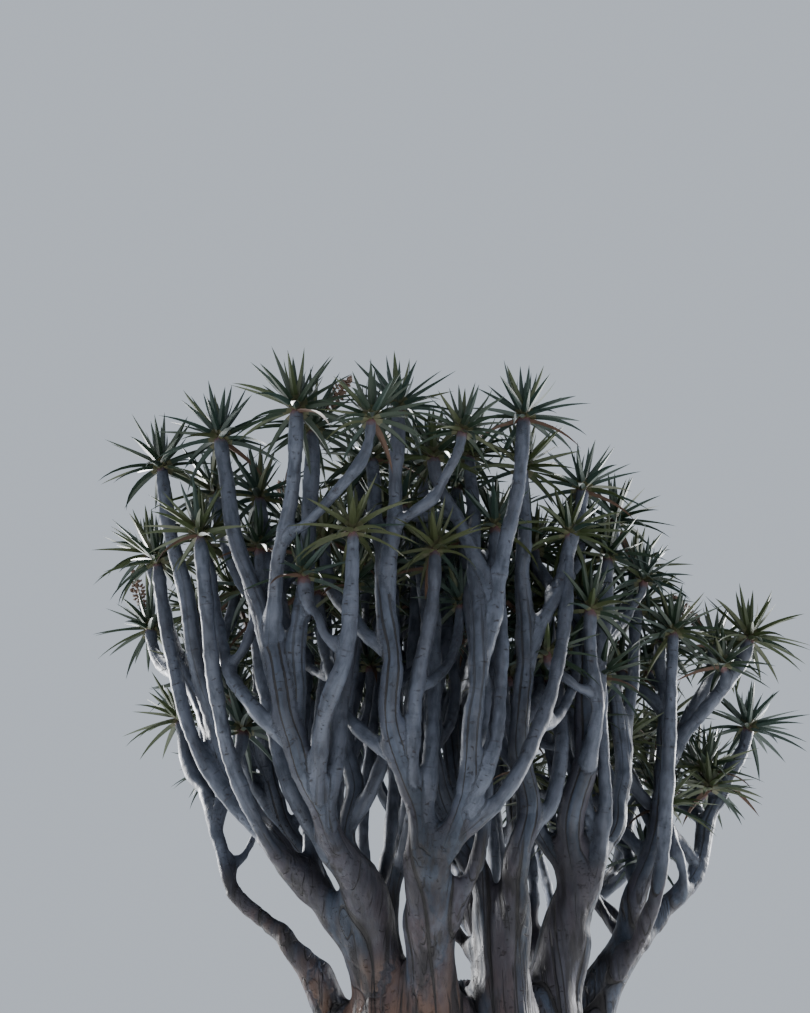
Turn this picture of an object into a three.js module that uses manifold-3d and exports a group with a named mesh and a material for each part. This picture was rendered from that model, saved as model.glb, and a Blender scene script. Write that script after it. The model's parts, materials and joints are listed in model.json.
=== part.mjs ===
// A kokerboom, or quiver tree: a stout trunk that divides at head height into many long smooth limbs,
// each forking to stems that end in a rosette of stiff narrow leaves.
// Millimetres, +Z up. The origin is the centre of the flat cut at ground level, and headings are
// degrees turned from +X towards +Y.
import * as THREE from "three";
import { mergeVertices } from "three/addons/utils/BufferGeometryUtils.js";
import Module from "manifold-3d";

// Driving sizes.
const treeSeed = 34;
const jointGap = 0.3;

const trunkSizes = {
  footRadius: 610,
  waistRadius: 450,
  flareRise: 260,
  topRise: 1800,
  topRadius: 480,
  topSpread: 2.2,
  topDome: 340,
  lean: 70,
  flutes: 5,
  fluteDepth: 0.07,
  fluteFade: 0.5,
  fluteTwist: 1.3,
  sides: 16,
  steps: 7,
  stepCrowding: 1.25,
};

// The lobes into which the trunk divides: heading, reach and rise of the top, and its radius.
const lobeRoot = {
  rise: 1350,
  radius: 285,
  inset: 0.2,
  leaveOut: 0.5,
  arriveOut: 0.42,
  dome: 0.6,
  sides: 8,
  steps: 2,
};
const lobes = {
  left: [203, 640, 2200, 105],
  leftFront: [230, 570, 2400, 150],
  front: [259, 570, 2270, 125],
  rightFront: [300, 520, 2360, 150],
  right: [342, 560, 2350, 145],
  farRight: [12, 750, 2210, 115],
  backRight: [58, 560, 2380, 145],
  backLeft: [128, 560, 2380, 145],
};

// The main boughs: the lobe each springs from and how far up it, then heading, reach and rise of its
// tip with the radii at foot and tip, then the heads it carries as [count, heading, reach, rise] of
// their middle, and how they differ: degrees between them, reach in and out, rise from first to last.
const boughPlan = [
  ["outer_left", "left", 0.9, [191, 1070, 2650, 56, 44], [1, 176, 1470, 3480], [0, 0, 0]],
  ["left", "leftFront", 0.7, [205, 1190, 3070, 84, 62], [3, 194, 1740, 4250], [20, 80, 300]],
  ["front_left", "leftFront", 0.95, [236, 1250, 3020, 86, 62], [3, 227, 1560, 4400], [16, -200, -40]],
  ["mid_left", "leftFront", 0.85, [228, 720, 3110, 66, 50], [2, 216, 880, 4580], [38, 120, 0]],
  ["front", "front", 0.95, [256, 1180, 3450, 76, 54], [2, 255, 1250, 4440], [11, -340, -20]],
  ["front_right", "front", 0.8, [276, 1050, 3150, 70, 52], [2, 283, 1150, 4500], [8, -400, -60]],
  ["middle", "rightFront", 0.6, [262, 480, 3250, 64, 50], [2, 272, 640, 4640], [20, 260, 60]],
  ["right_front", "rightFront", 0.9, [294, 870, 3350, 70, 54], [2, 301, 1120, 4360], [17, -80, -60]],
  ["right", "right", 0.85, [322, 880, 3450, 92, 62], [2, 342, 1150, 4350], [18, -60, -120]],
  ["right_low", "right", 0.95, [346, 900, 3000, 68, 52], [2, 346, 975, 4125], [12, -350, -150]],
  ["far_right", "farRight", 0.75, [2, 1180, 3180, 78, 56], [2, 4, 1500, 3960], [6, -400, 80]],
  ["outer_right", "farRight", 0.95, [13, 1440, 2880, 70, 54], [2, 17, 1790, 3480], [16, 40, -60]],
  ["outer_right_back", "backRight", 0.7, [36, 1380, 3050, 66, 52], [2, 44, 1650, 3800], [20, 60, 200]],
  ["back_right", "backRight", 0.9, [62, 1000, 3250, 80, 58], [2, 60, 1400, 4250], [24, 200, 0]],
  ["back", "backRight", 0.8, [93, 1050, 3350, 76, 56], [2, 97, 1480, 4380], [24, -220, 0]],
  ["back_left", "backLeft", 0.95, [128, 1050, 3250, 80, 58], [3, 137, 1530, 4300], [14, 160, 0]],
  ["left_back", "backLeft", 0.8, [162, 1000, 3200, 70, 54], [2, 163, 1330, 4150], [20, -200, 100]],
  ["centre_back", "backRight", 0.6, [80, 330, 3450, 64, 52], [2, 60, 620, 4760], [70, 0, 0]],
  ["centre", "backLeft", 0.6, [170, 260, 3500, 64, 52], [2, 180, 420, 4820], [110, 0, 0]],
];

const stemSizes = {
  tipRadius: 35,
  budRise: 40,
  sides: 5,
  steps: 3,
  twigSteps: 2,
  footInset: 0.6,
  below: 0.075,
  belowRadius: 0.86,
  belowBend: 0.3,
  sway: 16,
  leastSway: 0.4,
  outwardTilt: 0.3,
  tiltReach: 1600,
};

// The side stems: where they leave the main one, how far off their heads stand, and how the widest
// opening for them is judged.
const forkSizes = {
  share: 0.8,
  at: 0.1,
  range: 0.28,
  apart: 520,
  slant: 0.55,
  leastDrop: 60,
  dropRange: 180,
  tries: 12,
  halfway: 0.6,
  limbRoom: 250,
  limbWeight: 1.2,
  outsideWeight: 2,
  outsideFrom: 0.1,
  bend: 0.8,
  footRadius: 0.92,
  tipRadius: 0.96,
};

const boughSizes = {
  sides: 7,
  steps: 5,
  sway: 30,
  leastSway: 0.5,
  footSwell: 1.45,
  swellLength: 0.16,
  arriveOut: 0.12,
  arriveAim: 0.5,
};

// How far a limb keeps its direction at either end, as a share of its length.
const curveHold = 0.38;

const leafSizes = {
  count: 8,
  length: 315,
  halfWidth: 26,
  thickness: 17,
  widestAt: 0.22,
  rootInset: 10,
  rootSpread: 22,
  rootMiddle: 0.6,
  lowest: -14,
  highest: 76,
  crowding: 1.5,
  climbRange: 8,
  leastLength: 0.9,
  lengthRange: 0.16,
};
const goldenAngle = 137.508;

// Old flower stalks, each a bare stalk with a club of seed cases, on a few of the rosettes.
const stalkSizes = {
  share: 0.14,
  length: 400,
  radius: 9,
  footRise: 0.1,
  clubFoot: 0.55,
  clubMiddle: 0.7,
  clubRadius: 30,
  climb: 62,
};

const leafClearance = 4;
const mergeGap = 1e-3;

const barkGrey = new THREE.Color(0.36, 0.33, 0.36);
const barkOchre = new THREE.Color(0.42, 0.29, 0.19);
const leafGreen = new THREE.Color(0.13, 0.19, 0.12);

const wasm = await Module();
wasm.setup();

// A steady stream of numbers from 0 to 1.
function makeDraw(seed) {
  let state = seed >>> 0;
  return () => {
    state = (Math.imul(state, 1664525) + 1013904223) >>> 0;
    return state / 4294967296;
  };
}

function polar(heading, reach, rise) {
  const turn = THREE.MathUtils.degToRad(heading);
  return new THREE.Vector3(reach * Math.cos(turn), reach * Math.sin(turn), rise);
}

// The level direction away from the trunk's axis.
function outwardOf(point) {
  return new THREE.Vector3(point.x, point.y, 0).normalize();
}

// A limb's middle line: it leaves its foot along one direction, arrives at its tip along another, and
// sways a little on the way.
class Course extends THREE.Curve {
  constructor(foot, leave, tip, arrive, sway, phase) {
    super();
    const hold = curveHold * foot.distanceTo(tip);
    this.bend = new THREE.CubicBezierCurve3(
      foot.clone(),
      foot.clone().addScaledVector(leave, hold),
      tip.clone().addScaledVector(arrive, -hold),
      tip.clone(),
    );
    this.sway = sway;
    this.phase = phase;
  }

  getPoint(t, target = new THREE.Vector3()) {
    this.bend.getPoint(t, target);
    const swing = this.sway * Math.sin(Math.PI * t) ** 2;
    const turn = this.phase + 3 * Math.PI * t;
    target.x += swing * Math.cos(turn);
    target.y += swing * Math.sin(turn);
    return target;
  }
}

function solidFrom(geometry) {
  geometry.deleteAttribute("normal");
  geometry.deleteAttribute("uv");
  const merged = mergeVertices(geometry, mergeGap);
  return new wasm.Manifold(
    new wasm.Mesh({
      numProp: 3,
      vertProperties: merged.attributes.position.array,
      triVerts: new Uint32Array(merged.index.array),
    }),
  );
}

// A round bar bent along a course, with its radius from a function. The far end stands out as a dome,
// and grow makes it larger all over, for cutting a neighbour clear of it.
function limbSolid(course, radiusAt, { sides, steps, dome = 0 }, grow = 0) {
  const bar = new THREE.CylinderGeometry(1, 1, 1, sides, steps);
  const frames = course.computeFrenetFrames(steps, false);
  const place = bar.attributes.position;
  const point = new THREE.Vector3();
  for (let i = 0; i < place.count; i += 1) {
    const t = place.getY(i) + 0.5;
    const step = Math.round(t * steps);
    const across = place.getX(i);
    const along = place.getZ(i);
    const onAxis = Math.hypot(across, along) < 0.5;
    const radius = onAxis ? 0 : radiusAt(t) + grow;
    point.copy(course.getPoint(t));
    point.addScaledVector(frames.normals[step], across * radius);
    point.addScaledVector(frames.binormals[step], -along * radius);
    const end = step === 0 ? -grow : grow + (onAxis ? dome : 0);
    if (step % steps === 0) point.addScaledVector(frames.tangents[step], end);
    place.setXYZ(i, point.x, point.y, point.z);
  }
  return solidFrom(bar);
}

function taper(foot, tip) {
  return (t) => foot + (tip - foot) * t;
}

// A bough's radius: it swells out where it leaves the trunk.
function boughRadius({ footRadius, tipRadius }) {
  const { footSwell, swellLength } = boughSizes;
  const plain = taper(footRadius, tipRadius);
  return (t) => plain(t) * (1 + (footSwell - 1) * Math.exp(-t / swellLength));
}

// The largest piece of a joined or cut solid, without loose scraps or sealed hollows.
function largest(solid) {
  return solid.decompose().reduce((best, piece) => (piece.volume() > best.volume() ? piece : best));
}

function boxesNear(a, b, gap) {
  const one = a.boundingBox();
  const other = b.boundingBox();
  return [0, 1, 2].every((k) => one.min[k] - gap < other.max[k] && other.min[k] - gap < one.max[k]);
}

// The trunk: a fluted column with a flare at the ground, fused with the lobes of its fork.
function trunkColumn(grow) {
  const { footRadius, waistRadius, flareRise, topRise, topRadius, topSpread, topDome } = trunkSizes;
  const { lean, flutes, fluteDepth, fluteFade, fluteTwist, sides, steps, stepCrowding } = trunkSizes;
  const column = new THREE.CylinderGeometry(1, 1, 1, sides, steps);
  const place = column.attributes.position;
  for (let i = 0; i < place.count; i += 1) {
    const t = (place.getY(i) + 0.5) ** stepCrowding;
    const turn = Math.atan2(-place.getZ(i), place.getX(i));
    const flare = (footRadius - waistRadius) * Math.exp((-t * topRise) / flareRise);
    const swell = (topRadius - waistRadius) * t ** topSpread;
    const flute = 1 + fluteDepth * (1 - fluteFade * t) * Math.cos(flutes * turn + fluteTwist * t);
    const onAxis = Math.hypot(place.getX(i), place.getZ(i)) < 0.5;
    const radius = onAxis ? 0 : (waistRadius + flare + swell) * flute + grow;
    const top = t === 1 && onAxis ? topDome : 0;
    place.setXYZ(i, radius * Math.cos(turn), radius * Math.sin(turn) - lean * t, t * topRise + top);
  }
  return solidFrom(column);
}

function lobeCourse([heading, reach, rise]) {
  const foot = polar(heading, reach * lobeRoot.inset, lobeRoot.rise);
  const tip = polar(heading, reach, rise);
  const leave = outwardOf(foot).multiplyScalar(lobeRoot.leaveOut).setZ(1).normalize();
  const arrive = outwardOf(tip).multiplyScalar(lobeRoot.arriveOut).setZ(1).normalize();
  return new Course(foot, leave, tip, arrive, 0, 0);
}

function trunkSolid(grow = 0) {
  const parts = [trunkColumn(grow)];
  for (const lobe of Object.values(lobes)) {
    const { sides, steps } = lobeRoot;
    const shape = { sides, steps, dome: lobeRoot.dome * lobe[3] };
    parts.push(limbSolid(lobeCourse(lobe), taper(lobeRoot.radius, lobe[3]), shape, grow));
  }
  return wasm.Manifold.union(parts);
}

// The boughs spring from inside their lobe, and the trunk is cut out of them.
function planBoughs(draw) {
  const { arriveOut, arriveAim, leastSway } = boughSizes;
  return boughPlan.map(([name, lobe, at, tipSizes, crown, spread]) => {
    const [heading, reach, rise, footRadius, tipRadius] = tipSizes;
    const lobeLine = lobeCourse(lobes[lobe]);
    const foot = lobeLine.getPoint(at);
    const tip = polar(heading, reach, rise);
    const aim = tip.clone().sub(foot).normalize();
    const leave = lobeLine.getTangent(at).add(aim).normalize();
    const arrive = outwardOf(tip).multiplyScalar(arriveOut).setZ(1);
    arrive.add(aim.multiplyScalar(arriveAim)).normalize();
    const sway = boughSizes.sway * (leastSway + draw());
    const course = new Course(foot, leave, tip, arrive, sway, 2 * Math.PI * draw());
    return { name, course, footRadius, tipRadius, crown, spread };
  });
}

// The heads of a bough stand side by side round the tree, in turn a little further in and out.
function planHeads(bough) {
  const [count, heading, reach, rise] = bough.crown;
  const [step, zigzag, fall] = bough.spread;
  return Array.from({ length: count }, (_, k) => {
    const side = count > 1 ? k / (count - 1) - 0.5 : 0;
    const zig = count > 1 ? zigzag * (k % 2 ? -0.5 : 0.5) : 0;
    return polar(heading + side * step * (count - 1), reach + zig, rise + side * fall);
  });
}

function rosetteAxis(centre) {
  const { outwardTilt, tiltReach } = stemSizes;
  const lean = outwardTilt * Math.min(1, Math.hypot(centre.x, centre.y) / tiltReach);
  return outwardOf(centre).multiplyScalar(lean).setZ(1).normalize();
}

// The main stem of a mass, from the bough's tip or, for the later ones, from inside the bough below it.
function planStem(bough, k, centre, draw) {
  const { below, belowRadius, belowBend, leastSway } = stemSizes;
  const first = k === 0;
  const at = 1 - below * k;
  const foot = bough.course.getPoint(at);
  const tangent = bough.course.getTangent(at);
  const aim = centre.clone().sub(foot).normalize();
  const bent = tangent.clone().multiplyScalar(belowBend).add(aim).normalize();
  const leave = first ? tangent : bent;
  if (first) foot.addScaledVector(tangent, jointGap);
  const sway = stemSizes.sway * (leastSway + draw());
  const course = new Course(foot, leave, centre, rosetteAxis(centre), sway, 2 * Math.PI * draw());
  const footRadius = (first ? 1 : belowRadius) * bough.tipRadius;
  const twigs = [{ course, foot: footRadius, tip: stemSizes.tipRadius }];
  return { name: `foliage_${bough.name}_${k + 1}`, bough, twigs, cut: !first };
}

function coursePoints(course) {
  return [0.2, 0.4, 0.6, 0.8, 1].map((t) => course.getPoint(t));
}

function nearest(point, others) {
  return others.reduce((least, other) => Math.min(least, point.distanceTo(other)), Infinity);
}

// A side stem forks off low on the main one and grows to where the crown is most open.
function planFork(mass, masses, boughs, draw) {
  const { apart, slant, tries, limbRoom, limbWeight, outsideWeight, outsideFrom } = forkSizes;
  const stem = mass.twigs[0];
  const centre = stem.course.getPoint(1);
  const at = forkSizes.at + forkSizes.range * draw();
  const fork = stem.course.getPoint(at);
  const spread = Math.min(apart, slant * fork.distanceTo(centre)) * (0.9 + 0.2 * draw());
  const drop = forkSizes.leastDrop + forkSizes.dropRange * draw();
  const start = draw();
  const heads = masses.flatMap(({ twigs }) => twigs.map(({ course }) => course.getPoint(1)));
  const limbs = [...masses.filter((other) => other !== mass).map(({ twigs }) => twigs[0]), ...boughs];
  const limbPoints = limbs.flatMap(({ course }) => coursePoints(course));
  let best = null;
  for (let i = 0; i < tries; i += 1) {
    const turn = 2 * Math.PI * (start + i / tries);
    const level = new THREE.Vector3(Math.cos(turn), Math.sin(turn), 0);
    const end = centre.clone().addScaledVector(level, spread);
    end.z -= drop;
    const halfway = fork.clone().lerp(end, forkSizes.halfway);
    const besideLimbs = limbWeight * Math.min(limbRoom, nearest(halfway, limbPoints));
    const outside = Math.max(0, level.dot(outwardOf(centre)) + outsideFrom) * outsideWeight * spread;
    const room = nearest(end, heads) + besideLimbs - outside;
    if (!best || room > best.room) best = { room, end };
  }
  const aim = best.end.clone().sub(fork).normalize();
  const leave = stem.course.getTangent(at).multiplyScalar(forkSizes.bend).add(aim).normalize();
  const axis = rosetteAxis(best.end);
  const course = new Course(fork, leave, best.end, axis, stemSizes.sway * draw(), 2 * Math.PI * draw());
  const radius = forkSizes.footRadius * THREE.MathUtils.lerp(stem.foot, stem.tip, at);
  mass.twigs.push({ course, foot: radius, tip: forkSizes.tipRadius * stemSizes.tipRadius });
}

function twigsSolid(twigs, grow = 0) {
  const { sides, steps, twigSteps, budRise, footInset } = stemSizes;
  const bars = twigs.map(({ course, foot, tip }, k) => {
    const shape = { sides, steps: k ? twigSteps : steps, dome: budRise };
    const plain = taper(foot, tip);
    return limbSolid(course, k ? (t) => (t ? plain(t) : footInset * foot) : plain, shape, grow);
  });
  return wasm.Manifold.union(bars);
}

// One leaf: a stiff spike with a flat upper face and a keel below. It springs from a point inside the
// stem, is widest a little way out, and tapers from there to its tip.
function leafSolid(root, axis, east, turn, climb, length) {
  const { halfWidth, thickness, widestAt, rootInset } = leafSizes;
  const north = axis.clone().cross(east);
  const level = east.clone().multiplyScalar(Math.cos(turn)).addScaledVector(north, Math.sin(turn));
  const along = level.clone().multiplyScalar(Math.cos(climb)).addScaledVector(axis, Math.sin(climb));
  const over = axis.clone().multiplyScalar(Math.cos(climb)).addScaledVector(level, -Math.sin(climb));
  const side = over.clone().cross(along);
  const corner = (out, across, up) =>
    root.clone().addScaledVector(along, out).addScaledVector(side, across).addScaledVector(over, up);
  const corners = [
    corner(length, 0, 0),
    corner(rootInset, 0, 0),
    corner(widestAt * length, -halfWidth, thickness),
    corner(widestAt * length, halfWidth, thickness),
  ];
  const blade = new THREE.TetrahedronGeometry(1);
  const place = blade.attributes.position;
  for (let i = 0; i < place.count; i += 1) {
    const [x, y, z] = [place.getX(i) > 0, place.getY(i) > 0, place.getZ(i) > 0];
    const which = z ? (x ? 0 : 1) : y ? 2 : 3;
    place.setXYZ(i, ...corners[which].toArray());
  }
  return solidFrom(blade);
}

// The leaves of one rosette, from the lowest to the highest round its stem.
function rosetteLeaves(course, draw) {
  const { count, lowest, highest, crowding, climbRange, rootSpread, rootMiddle } = leafSizes;
  const axis = course.getTangent(1);
  const east = new THREE.Vector3(0, 1, 0).cross(axis).normalize();
  const start = 360 * draw();
  return Array.from({ length: count }, (_, k) => {
    const rank = k / (count - 1);
    const degrees = THREE.MathUtils.lerp(lowest, highest, rank ** crowding) + climbRange * (draw() - 0.5);
    const climb = THREE.MathUtils.degToRad(degrees);
    const root = course.getPoint(1).addScaledVector(axis, rootSpread * (rank - rootMiddle));
    const turn = THREE.MathUtils.degToRad(start + goldenAngle * k);
    const length = leafSizes.length * (leafSizes.leastLength + leafSizes.lengthRange * draw());
    return leafSolid(root, axis, east, turn, climb, length);
  });
}

// An old flower stalk that leans out from among the leaves.
function stalkSolid(course, draw) {
  const { length, radius, footRise, clubFoot, clubMiddle, clubRadius, climb } = stalkSizes;
  const profile = [
    [0, 0],
    [radius, footRise],
    [radius, clubFoot],
    [clubRadius, clubMiddle],
    [0, 1],
  ].map(([across, along]) => new THREE.Vector2(across, along * length));
  const stalk = new THREE.LatheGeometry(profile, 3);
  const lean = THREE.MathUtils.degToRad(90 - climb);
  const turn = 2 * Math.PI * draw();
  const level = new THREE.Vector3(Math.cos(turn), Math.sin(turn), 0);
  const along = level.multiplyScalar(Math.sin(lean)).setZ(Math.cos(lean));
  const upright = new THREE.Quaternion().setFromUnitVectors(new THREE.Vector3(0, 1, 0), along);
  stalk.applyQuaternion(upright);
  const root = course.getPoint(1);
  stalk.translate(root.x, root.y, root.z);
  return solidFrom(stalk);
}

// A leaf or stalk that would touch a limb or another mass is left out.
function massSolid(mass, others, draw) {
  const leaves = [];
  for (const { course } of mass.twigs) {
    const shoots = rosetteLeaves(course, draw);
    if (draw() < stalkSizes.share) shoots.push(stalkSolid(course, draw));
    for (const leaf of shoots) {
      const near = others.filter((other) => boxesNear(leaf, other, leafClearance));
      const free = near.every((other) => leaf.minGap(other, leafClearance) >= leafClearance);
      if (free) leaves.push(leaf);
    }
  }
  return largest(wasm.Manifold.union([mass.solid, ...leaves]));
}

function geometryOf(solid) {
  const made = solid.getMesh();
  const geometry = new THREE.BufferGeometry();
  geometry.setAttribute("position", new THREE.BufferAttribute(made.vertProperties, 3));
  geometry.setIndex(new THREE.BufferAttribute(made.triVerts, 1));
  return geometry;
}

// A solid as a mesh of the scene. Points that fall together are merged first, and any crumb that
// this parts off is dropped.
function meshOf(name, solid, color, roughness) {
  const geometry = geometryOf(largest(solidFrom(geometryOf(solid))));
  geometry.computeVertexNormals();
  const mesh = new THREE.Mesh(
    geometry,
    new THREE.MeshStandardMaterial({ color, roughness, metalness: 0 }),
  );
  mesh.name = name;
  return mesh;
}

// The cut that leaves a solid clear of the grown copies of those it springs from or stands beside.
function cutClear(solid, grown) {
  const near = grown.filter((other) => boxesNear(solid, other, 1));
  return near.length ? largest(solid.subtract(wasm.Manifold.union(near))) : solid;
}

const tree = new THREE.Group();
const draw = makeDraw(treeSeed);

tree.add(meshOf("trunk", trunkSolid(), barkOchre, 0.85));
const woods = [trunkSolid()];
const grownWoods = [trunkSolid(jointGap)];

const boughs = planBoughs(draw);
for (const bough of boughs) {
  const radiusAt = boughRadius(bough);
  const solid = cutClear(limbSolid(bough.course, radiusAt, boughSizes), grownWoods);
  woods.push(solid);
  grownWoods.push(limbSolid(bough.course, radiusAt, boughSizes, jointGap));
  tree.add(meshOf(`bough_${bough.name}`, solid, barkGrey, 0.7));
}

const masses = boughs.flatMap((bough) =>
  planHeads(bough).map((centre, k) => planStem(bough, k, centre, draw)),
);
for (const mass of masses) {
  if (draw() < forkSizes.share) planFork(mass, masses, boughs, draw);
}
for (const mass of masses) {
  const whole = twigsSolid(mass.twigs);
  mass.solid = mass.cut ? cutClear(whole, grownWoods) : whole;
  grownWoods.push(twigsSolid(mass.twigs, jointGap));
}

const finished = [];
masses.forEach((mass, i) => {
  const later = masses.slice(i + 1).map((other) => other.solid);
  const solid = massSolid(mass, [...woods, ...finished, ...later], draw);
  finished.push(solid);
  tree.add(meshOf(mass.name, solid, leafGreen, 0.55));
});

export default tree;
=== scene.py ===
# A kokerboom, or quiver tree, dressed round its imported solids. The limbs and rosettes grow again by the
# rule of the solids, with bark relief, finer shoots, fuller leaves and old flower stalks.
import json
import math

import bpy
import numpy as np
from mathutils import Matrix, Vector

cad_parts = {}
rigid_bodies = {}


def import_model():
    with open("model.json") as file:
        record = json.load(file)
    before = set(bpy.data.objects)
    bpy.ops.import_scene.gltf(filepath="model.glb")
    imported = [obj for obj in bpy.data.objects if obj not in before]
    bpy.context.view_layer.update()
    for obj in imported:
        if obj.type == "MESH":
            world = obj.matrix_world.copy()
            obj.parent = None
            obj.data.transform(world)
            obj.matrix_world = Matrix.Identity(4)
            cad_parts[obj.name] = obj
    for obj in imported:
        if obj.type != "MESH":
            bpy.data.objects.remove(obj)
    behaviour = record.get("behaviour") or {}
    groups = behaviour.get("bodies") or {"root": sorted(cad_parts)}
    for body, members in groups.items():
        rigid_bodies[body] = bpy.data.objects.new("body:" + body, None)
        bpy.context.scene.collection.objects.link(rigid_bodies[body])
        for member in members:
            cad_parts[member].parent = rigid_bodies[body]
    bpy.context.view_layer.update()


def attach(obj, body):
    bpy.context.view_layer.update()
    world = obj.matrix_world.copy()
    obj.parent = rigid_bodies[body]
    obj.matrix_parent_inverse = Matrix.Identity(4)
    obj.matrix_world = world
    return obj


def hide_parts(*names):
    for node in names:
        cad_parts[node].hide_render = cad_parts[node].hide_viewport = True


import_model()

bpy.ops.object.select_all(action="DESELECT")

# The camera stands close before the tree and looks up into the crown. Focal length is in pixels of the
# 810 x 1013 picture.
picture = {"height": 1013, "focal": 812, "sensor": 36}
standpoint = {"place": (-0.2, -4.2, 1.6), "pitch": 38}


def makeCamera():
    data = bpy.data.cameras.new("camera")
    data.sensor_width = picture["sensor"]
    data.lens = picture["focal"] / picture["height"] * picture["sensor"]
    camera = bpy.data.objects.new("camera", data)
    camera.location = standpoint["place"]
    camera.rotation_euler = (math.radians(90 + standpoint["pitch"]), 0, 0)
    bpy.context.scene.collection.objects.link(camera)
    bpy.context.scene.camera = camera


makeCamera()
print("camera placed")

# The plan of the tree, in millimetres and degrees turned from +X towards +Y, as the solids have it.
treeSeed = 34
jointGap = 0.3
curveHold = 0.38
mm = 0.001

trunkSizes = {
    "footRadius": 610, "waistRadius": 450, "flareRise": 260, "topRise": 1800, "topRadius": 480,
    "topSpread": 2.2, "topDome": 340, "lean": 70, "flutes": 5, "fluteDepth": 0.07, "fluteFade": 0.5,
    "fluteTwist": 1.3,
}

# The lobes into which the trunk divides: heading, reach and rise of the top, and its radius.
lobeRoot = {"rise": 1350, "radius": 285, "inset": 0.2, "leaveOut": 0.5, "arriveOut": 0.42}
lobes = {
    "left": (203, 640, 2200, 105),
    "leftFront": (230, 570, 2400, 150),
    "front": (259, 570, 2270, 125),
    "rightFront": (300, 520, 2360, 150),
    "right": (342, 560, 2350, 145),
    "farRight": (12, 750, 2210, 115),
    "backRight": (58, 560, 2380, 145),
    "backLeft": (128, 560, 2380, 145),
}

# The boughs: lobe and place on it, then heading, reach and rise of the tip with the radii at foot and
# tip, then the heads as count, heading, reach and rise of their middle, and how they differ.
boughPlan = [
    ("outer_left", "left", 0.9, (191, 1070, 2650, 56, 44), (1, 176, 1470, 3480), (0, 0, 0)),
    ("left", "leftFront", 0.7, (205, 1190, 3070, 84, 62), (3, 194, 1740, 4250), (20, 80, 300)),
    ("front_left", "leftFront", 0.95, (236, 1250, 3020, 86, 62), (3, 227, 1560, 4400), (16, -200, -40)),
    ("mid_left", "leftFront", 0.85, (228, 720, 3110, 66, 50), (2, 216, 880, 4580), (38, 120, 0)),
    ("front", "front", 0.95, (256, 1180, 3450, 76, 54), (2, 255, 1250, 4440), (11, -340, -20)),
    ("front_right", "front", 0.8, (276, 1050, 3150, 70, 52), (2, 283, 1150, 4500), (8, -400, -60)),
    ("middle", "rightFront", 0.6, (262, 480, 3250, 64, 50), (2, 272, 640, 4640), (20, 260, 60)),
    ("right_front", "rightFront", 0.9, (294, 870, 3350, 70, 54), (2, 301, 1120, 4360), (17, -80, -60)),
    ("right", "right", 0.85, (322, 880, 3450, 92, 62), (2, 342, 1150, 4350), (18, -60, -120)),
    ("right_low", "right", 0.95, (346, 900, 3000, 68, 52), (2, 346, 975, 4125), (12, -350, -150)),
    ("far_right", "farRight", 0.75, (2, 1180, 3180, 78, 56), (2, 4, 1500, 3960), (6, -400, 80)),
    ("outer_right", "farRight", 0.95, (13, 1440, 2880, 70, 54), (2, 17, 1790, 3480), (16, 40, -60)),
    ("outer_right_back", "backRight", 0.7, (36, 1380, 3050, 66, 52), (2, 44, 1650, 3800), (20, 60, 200)),
    ("back_right", "backRight", 0.9, (62, 1000, 3250, 80, 58), (2, 60, 1400, 4250), (24, 200, 0)),
    ("back", "backRight", 0.8, (93, 1050, 3350, 76, 56), (2, 97, 1480, 4380), (24, -220, 0)),
    ("back_left", "backLeft", 0.95, (128, 1050, 3250, 80, 58), (3, 137, 1530, 4300), (14, 160, 0)),
    ("left_back", "backLeft", 0.8, (162, 1000, 3200, 70, 54), (2, 163, 1330, 4150), (20, -200, 100)),
    ("centre_back", "backRight", 0.6, (80, 330, 3450, 64, 52), (2, 60, 620, 4760), (70, 0, 0)),
    ("centre", "backLeft", 0.6, (170, 260, 3500, 64, 52), (2, 180, 420, 4820), (110, 0, 0)),
]

stemSizes = {
    "tipRadius": 35, "below": 0.075, "belowRadius": 0.86, "belowBend": 0.3,
    "sway": 16, "leastSway": 0.4, "outwardTilt": 0.3, "tiltReach": 1600,
}
forkSizes = {
    "share": 0.8, "at": 0.1, "range": 0.28, "apart": 520, "slant": 0.55, "leastDrop": 60,
    "dropRange": 180, "tries": 12, "halfway": 0.6, "limbRoom": 250, "limbWeight": 1.2,
    "outsideWeight": 2, "outsideFrom": 0.1, "bend": 0.8, "footRadius": 0.92, "tipRadius": 0.96,
    "leastSpread": 0.9, "spreadRange": 0.2, "marks": (0.2, 0.4, 0.6, 0.8, 1.0),
}
boughSizes = {
    "sway": 30, "leastSway": 0.5, "footSwell": 1.45, "swellLength": 0.16, "arriveOut": 0.12,
    "arriveAim": 0.5,
}
leafDraws = 8  # leaves of a rosette of the solids, each of which takes two numbers from the stream
stalkShare = 0.14

# Finer shoots, which the solids leave out, fork off higher on the stems.
shootSizes = {
    "share": 0.36, "at": 0.4, "range": 0.22, "apart": 330, "slant": 0.5, "leastDrop": 90,
    "dropRange": 160, "footRadius": 0.8, "tipRadius": 0.8, "head": 0.82, "holds": (0.22, 0.5),
    "leaveOut": 0.85, "leaveUp": 0.65,
}

# So are the inner stems: they part from the boughs in wide forks and rise to the open places inside.
innerSizes = {
    "perBough": 4, "at": (0.08, 0.28, 0.48, 0.68), "range": 0.2, "tries": 16, "fan": 30, "leastReach": 0.4,
    "reachRange": 0.55, "leastDrop": 60, "dropRange": 620, "steepest": 0.62, "headRoom": 420,
    "limbRoom": 190, "limbWeight": 1.6, "footRadius": 0.66, "tipRadius": 31, "head": 0.92, "leastFoot": 60,
    "holds": (0.32, 0.46), "leaveOut": 0.8, "leaveUp": 0.8, "marks": (0.3, 0.5, 0.7, 0.85),
    "steepWeight": 2000, "limbMarks": (0.1, 1, 10),
}
outsideCalm = 0.6  # how much less a finer stem swings out where it grows straight outwards
shootSeed = 71
lengthSteps = 20

# A limb is pushed aside a little where another leaves it, and strays a little in between, in metres.
kinkSizes = {"push": 0.011, "length": 0.13, "stray": 0.007, "wander": 0.33, "footHold": 0.3, "endHold": 8}


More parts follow.
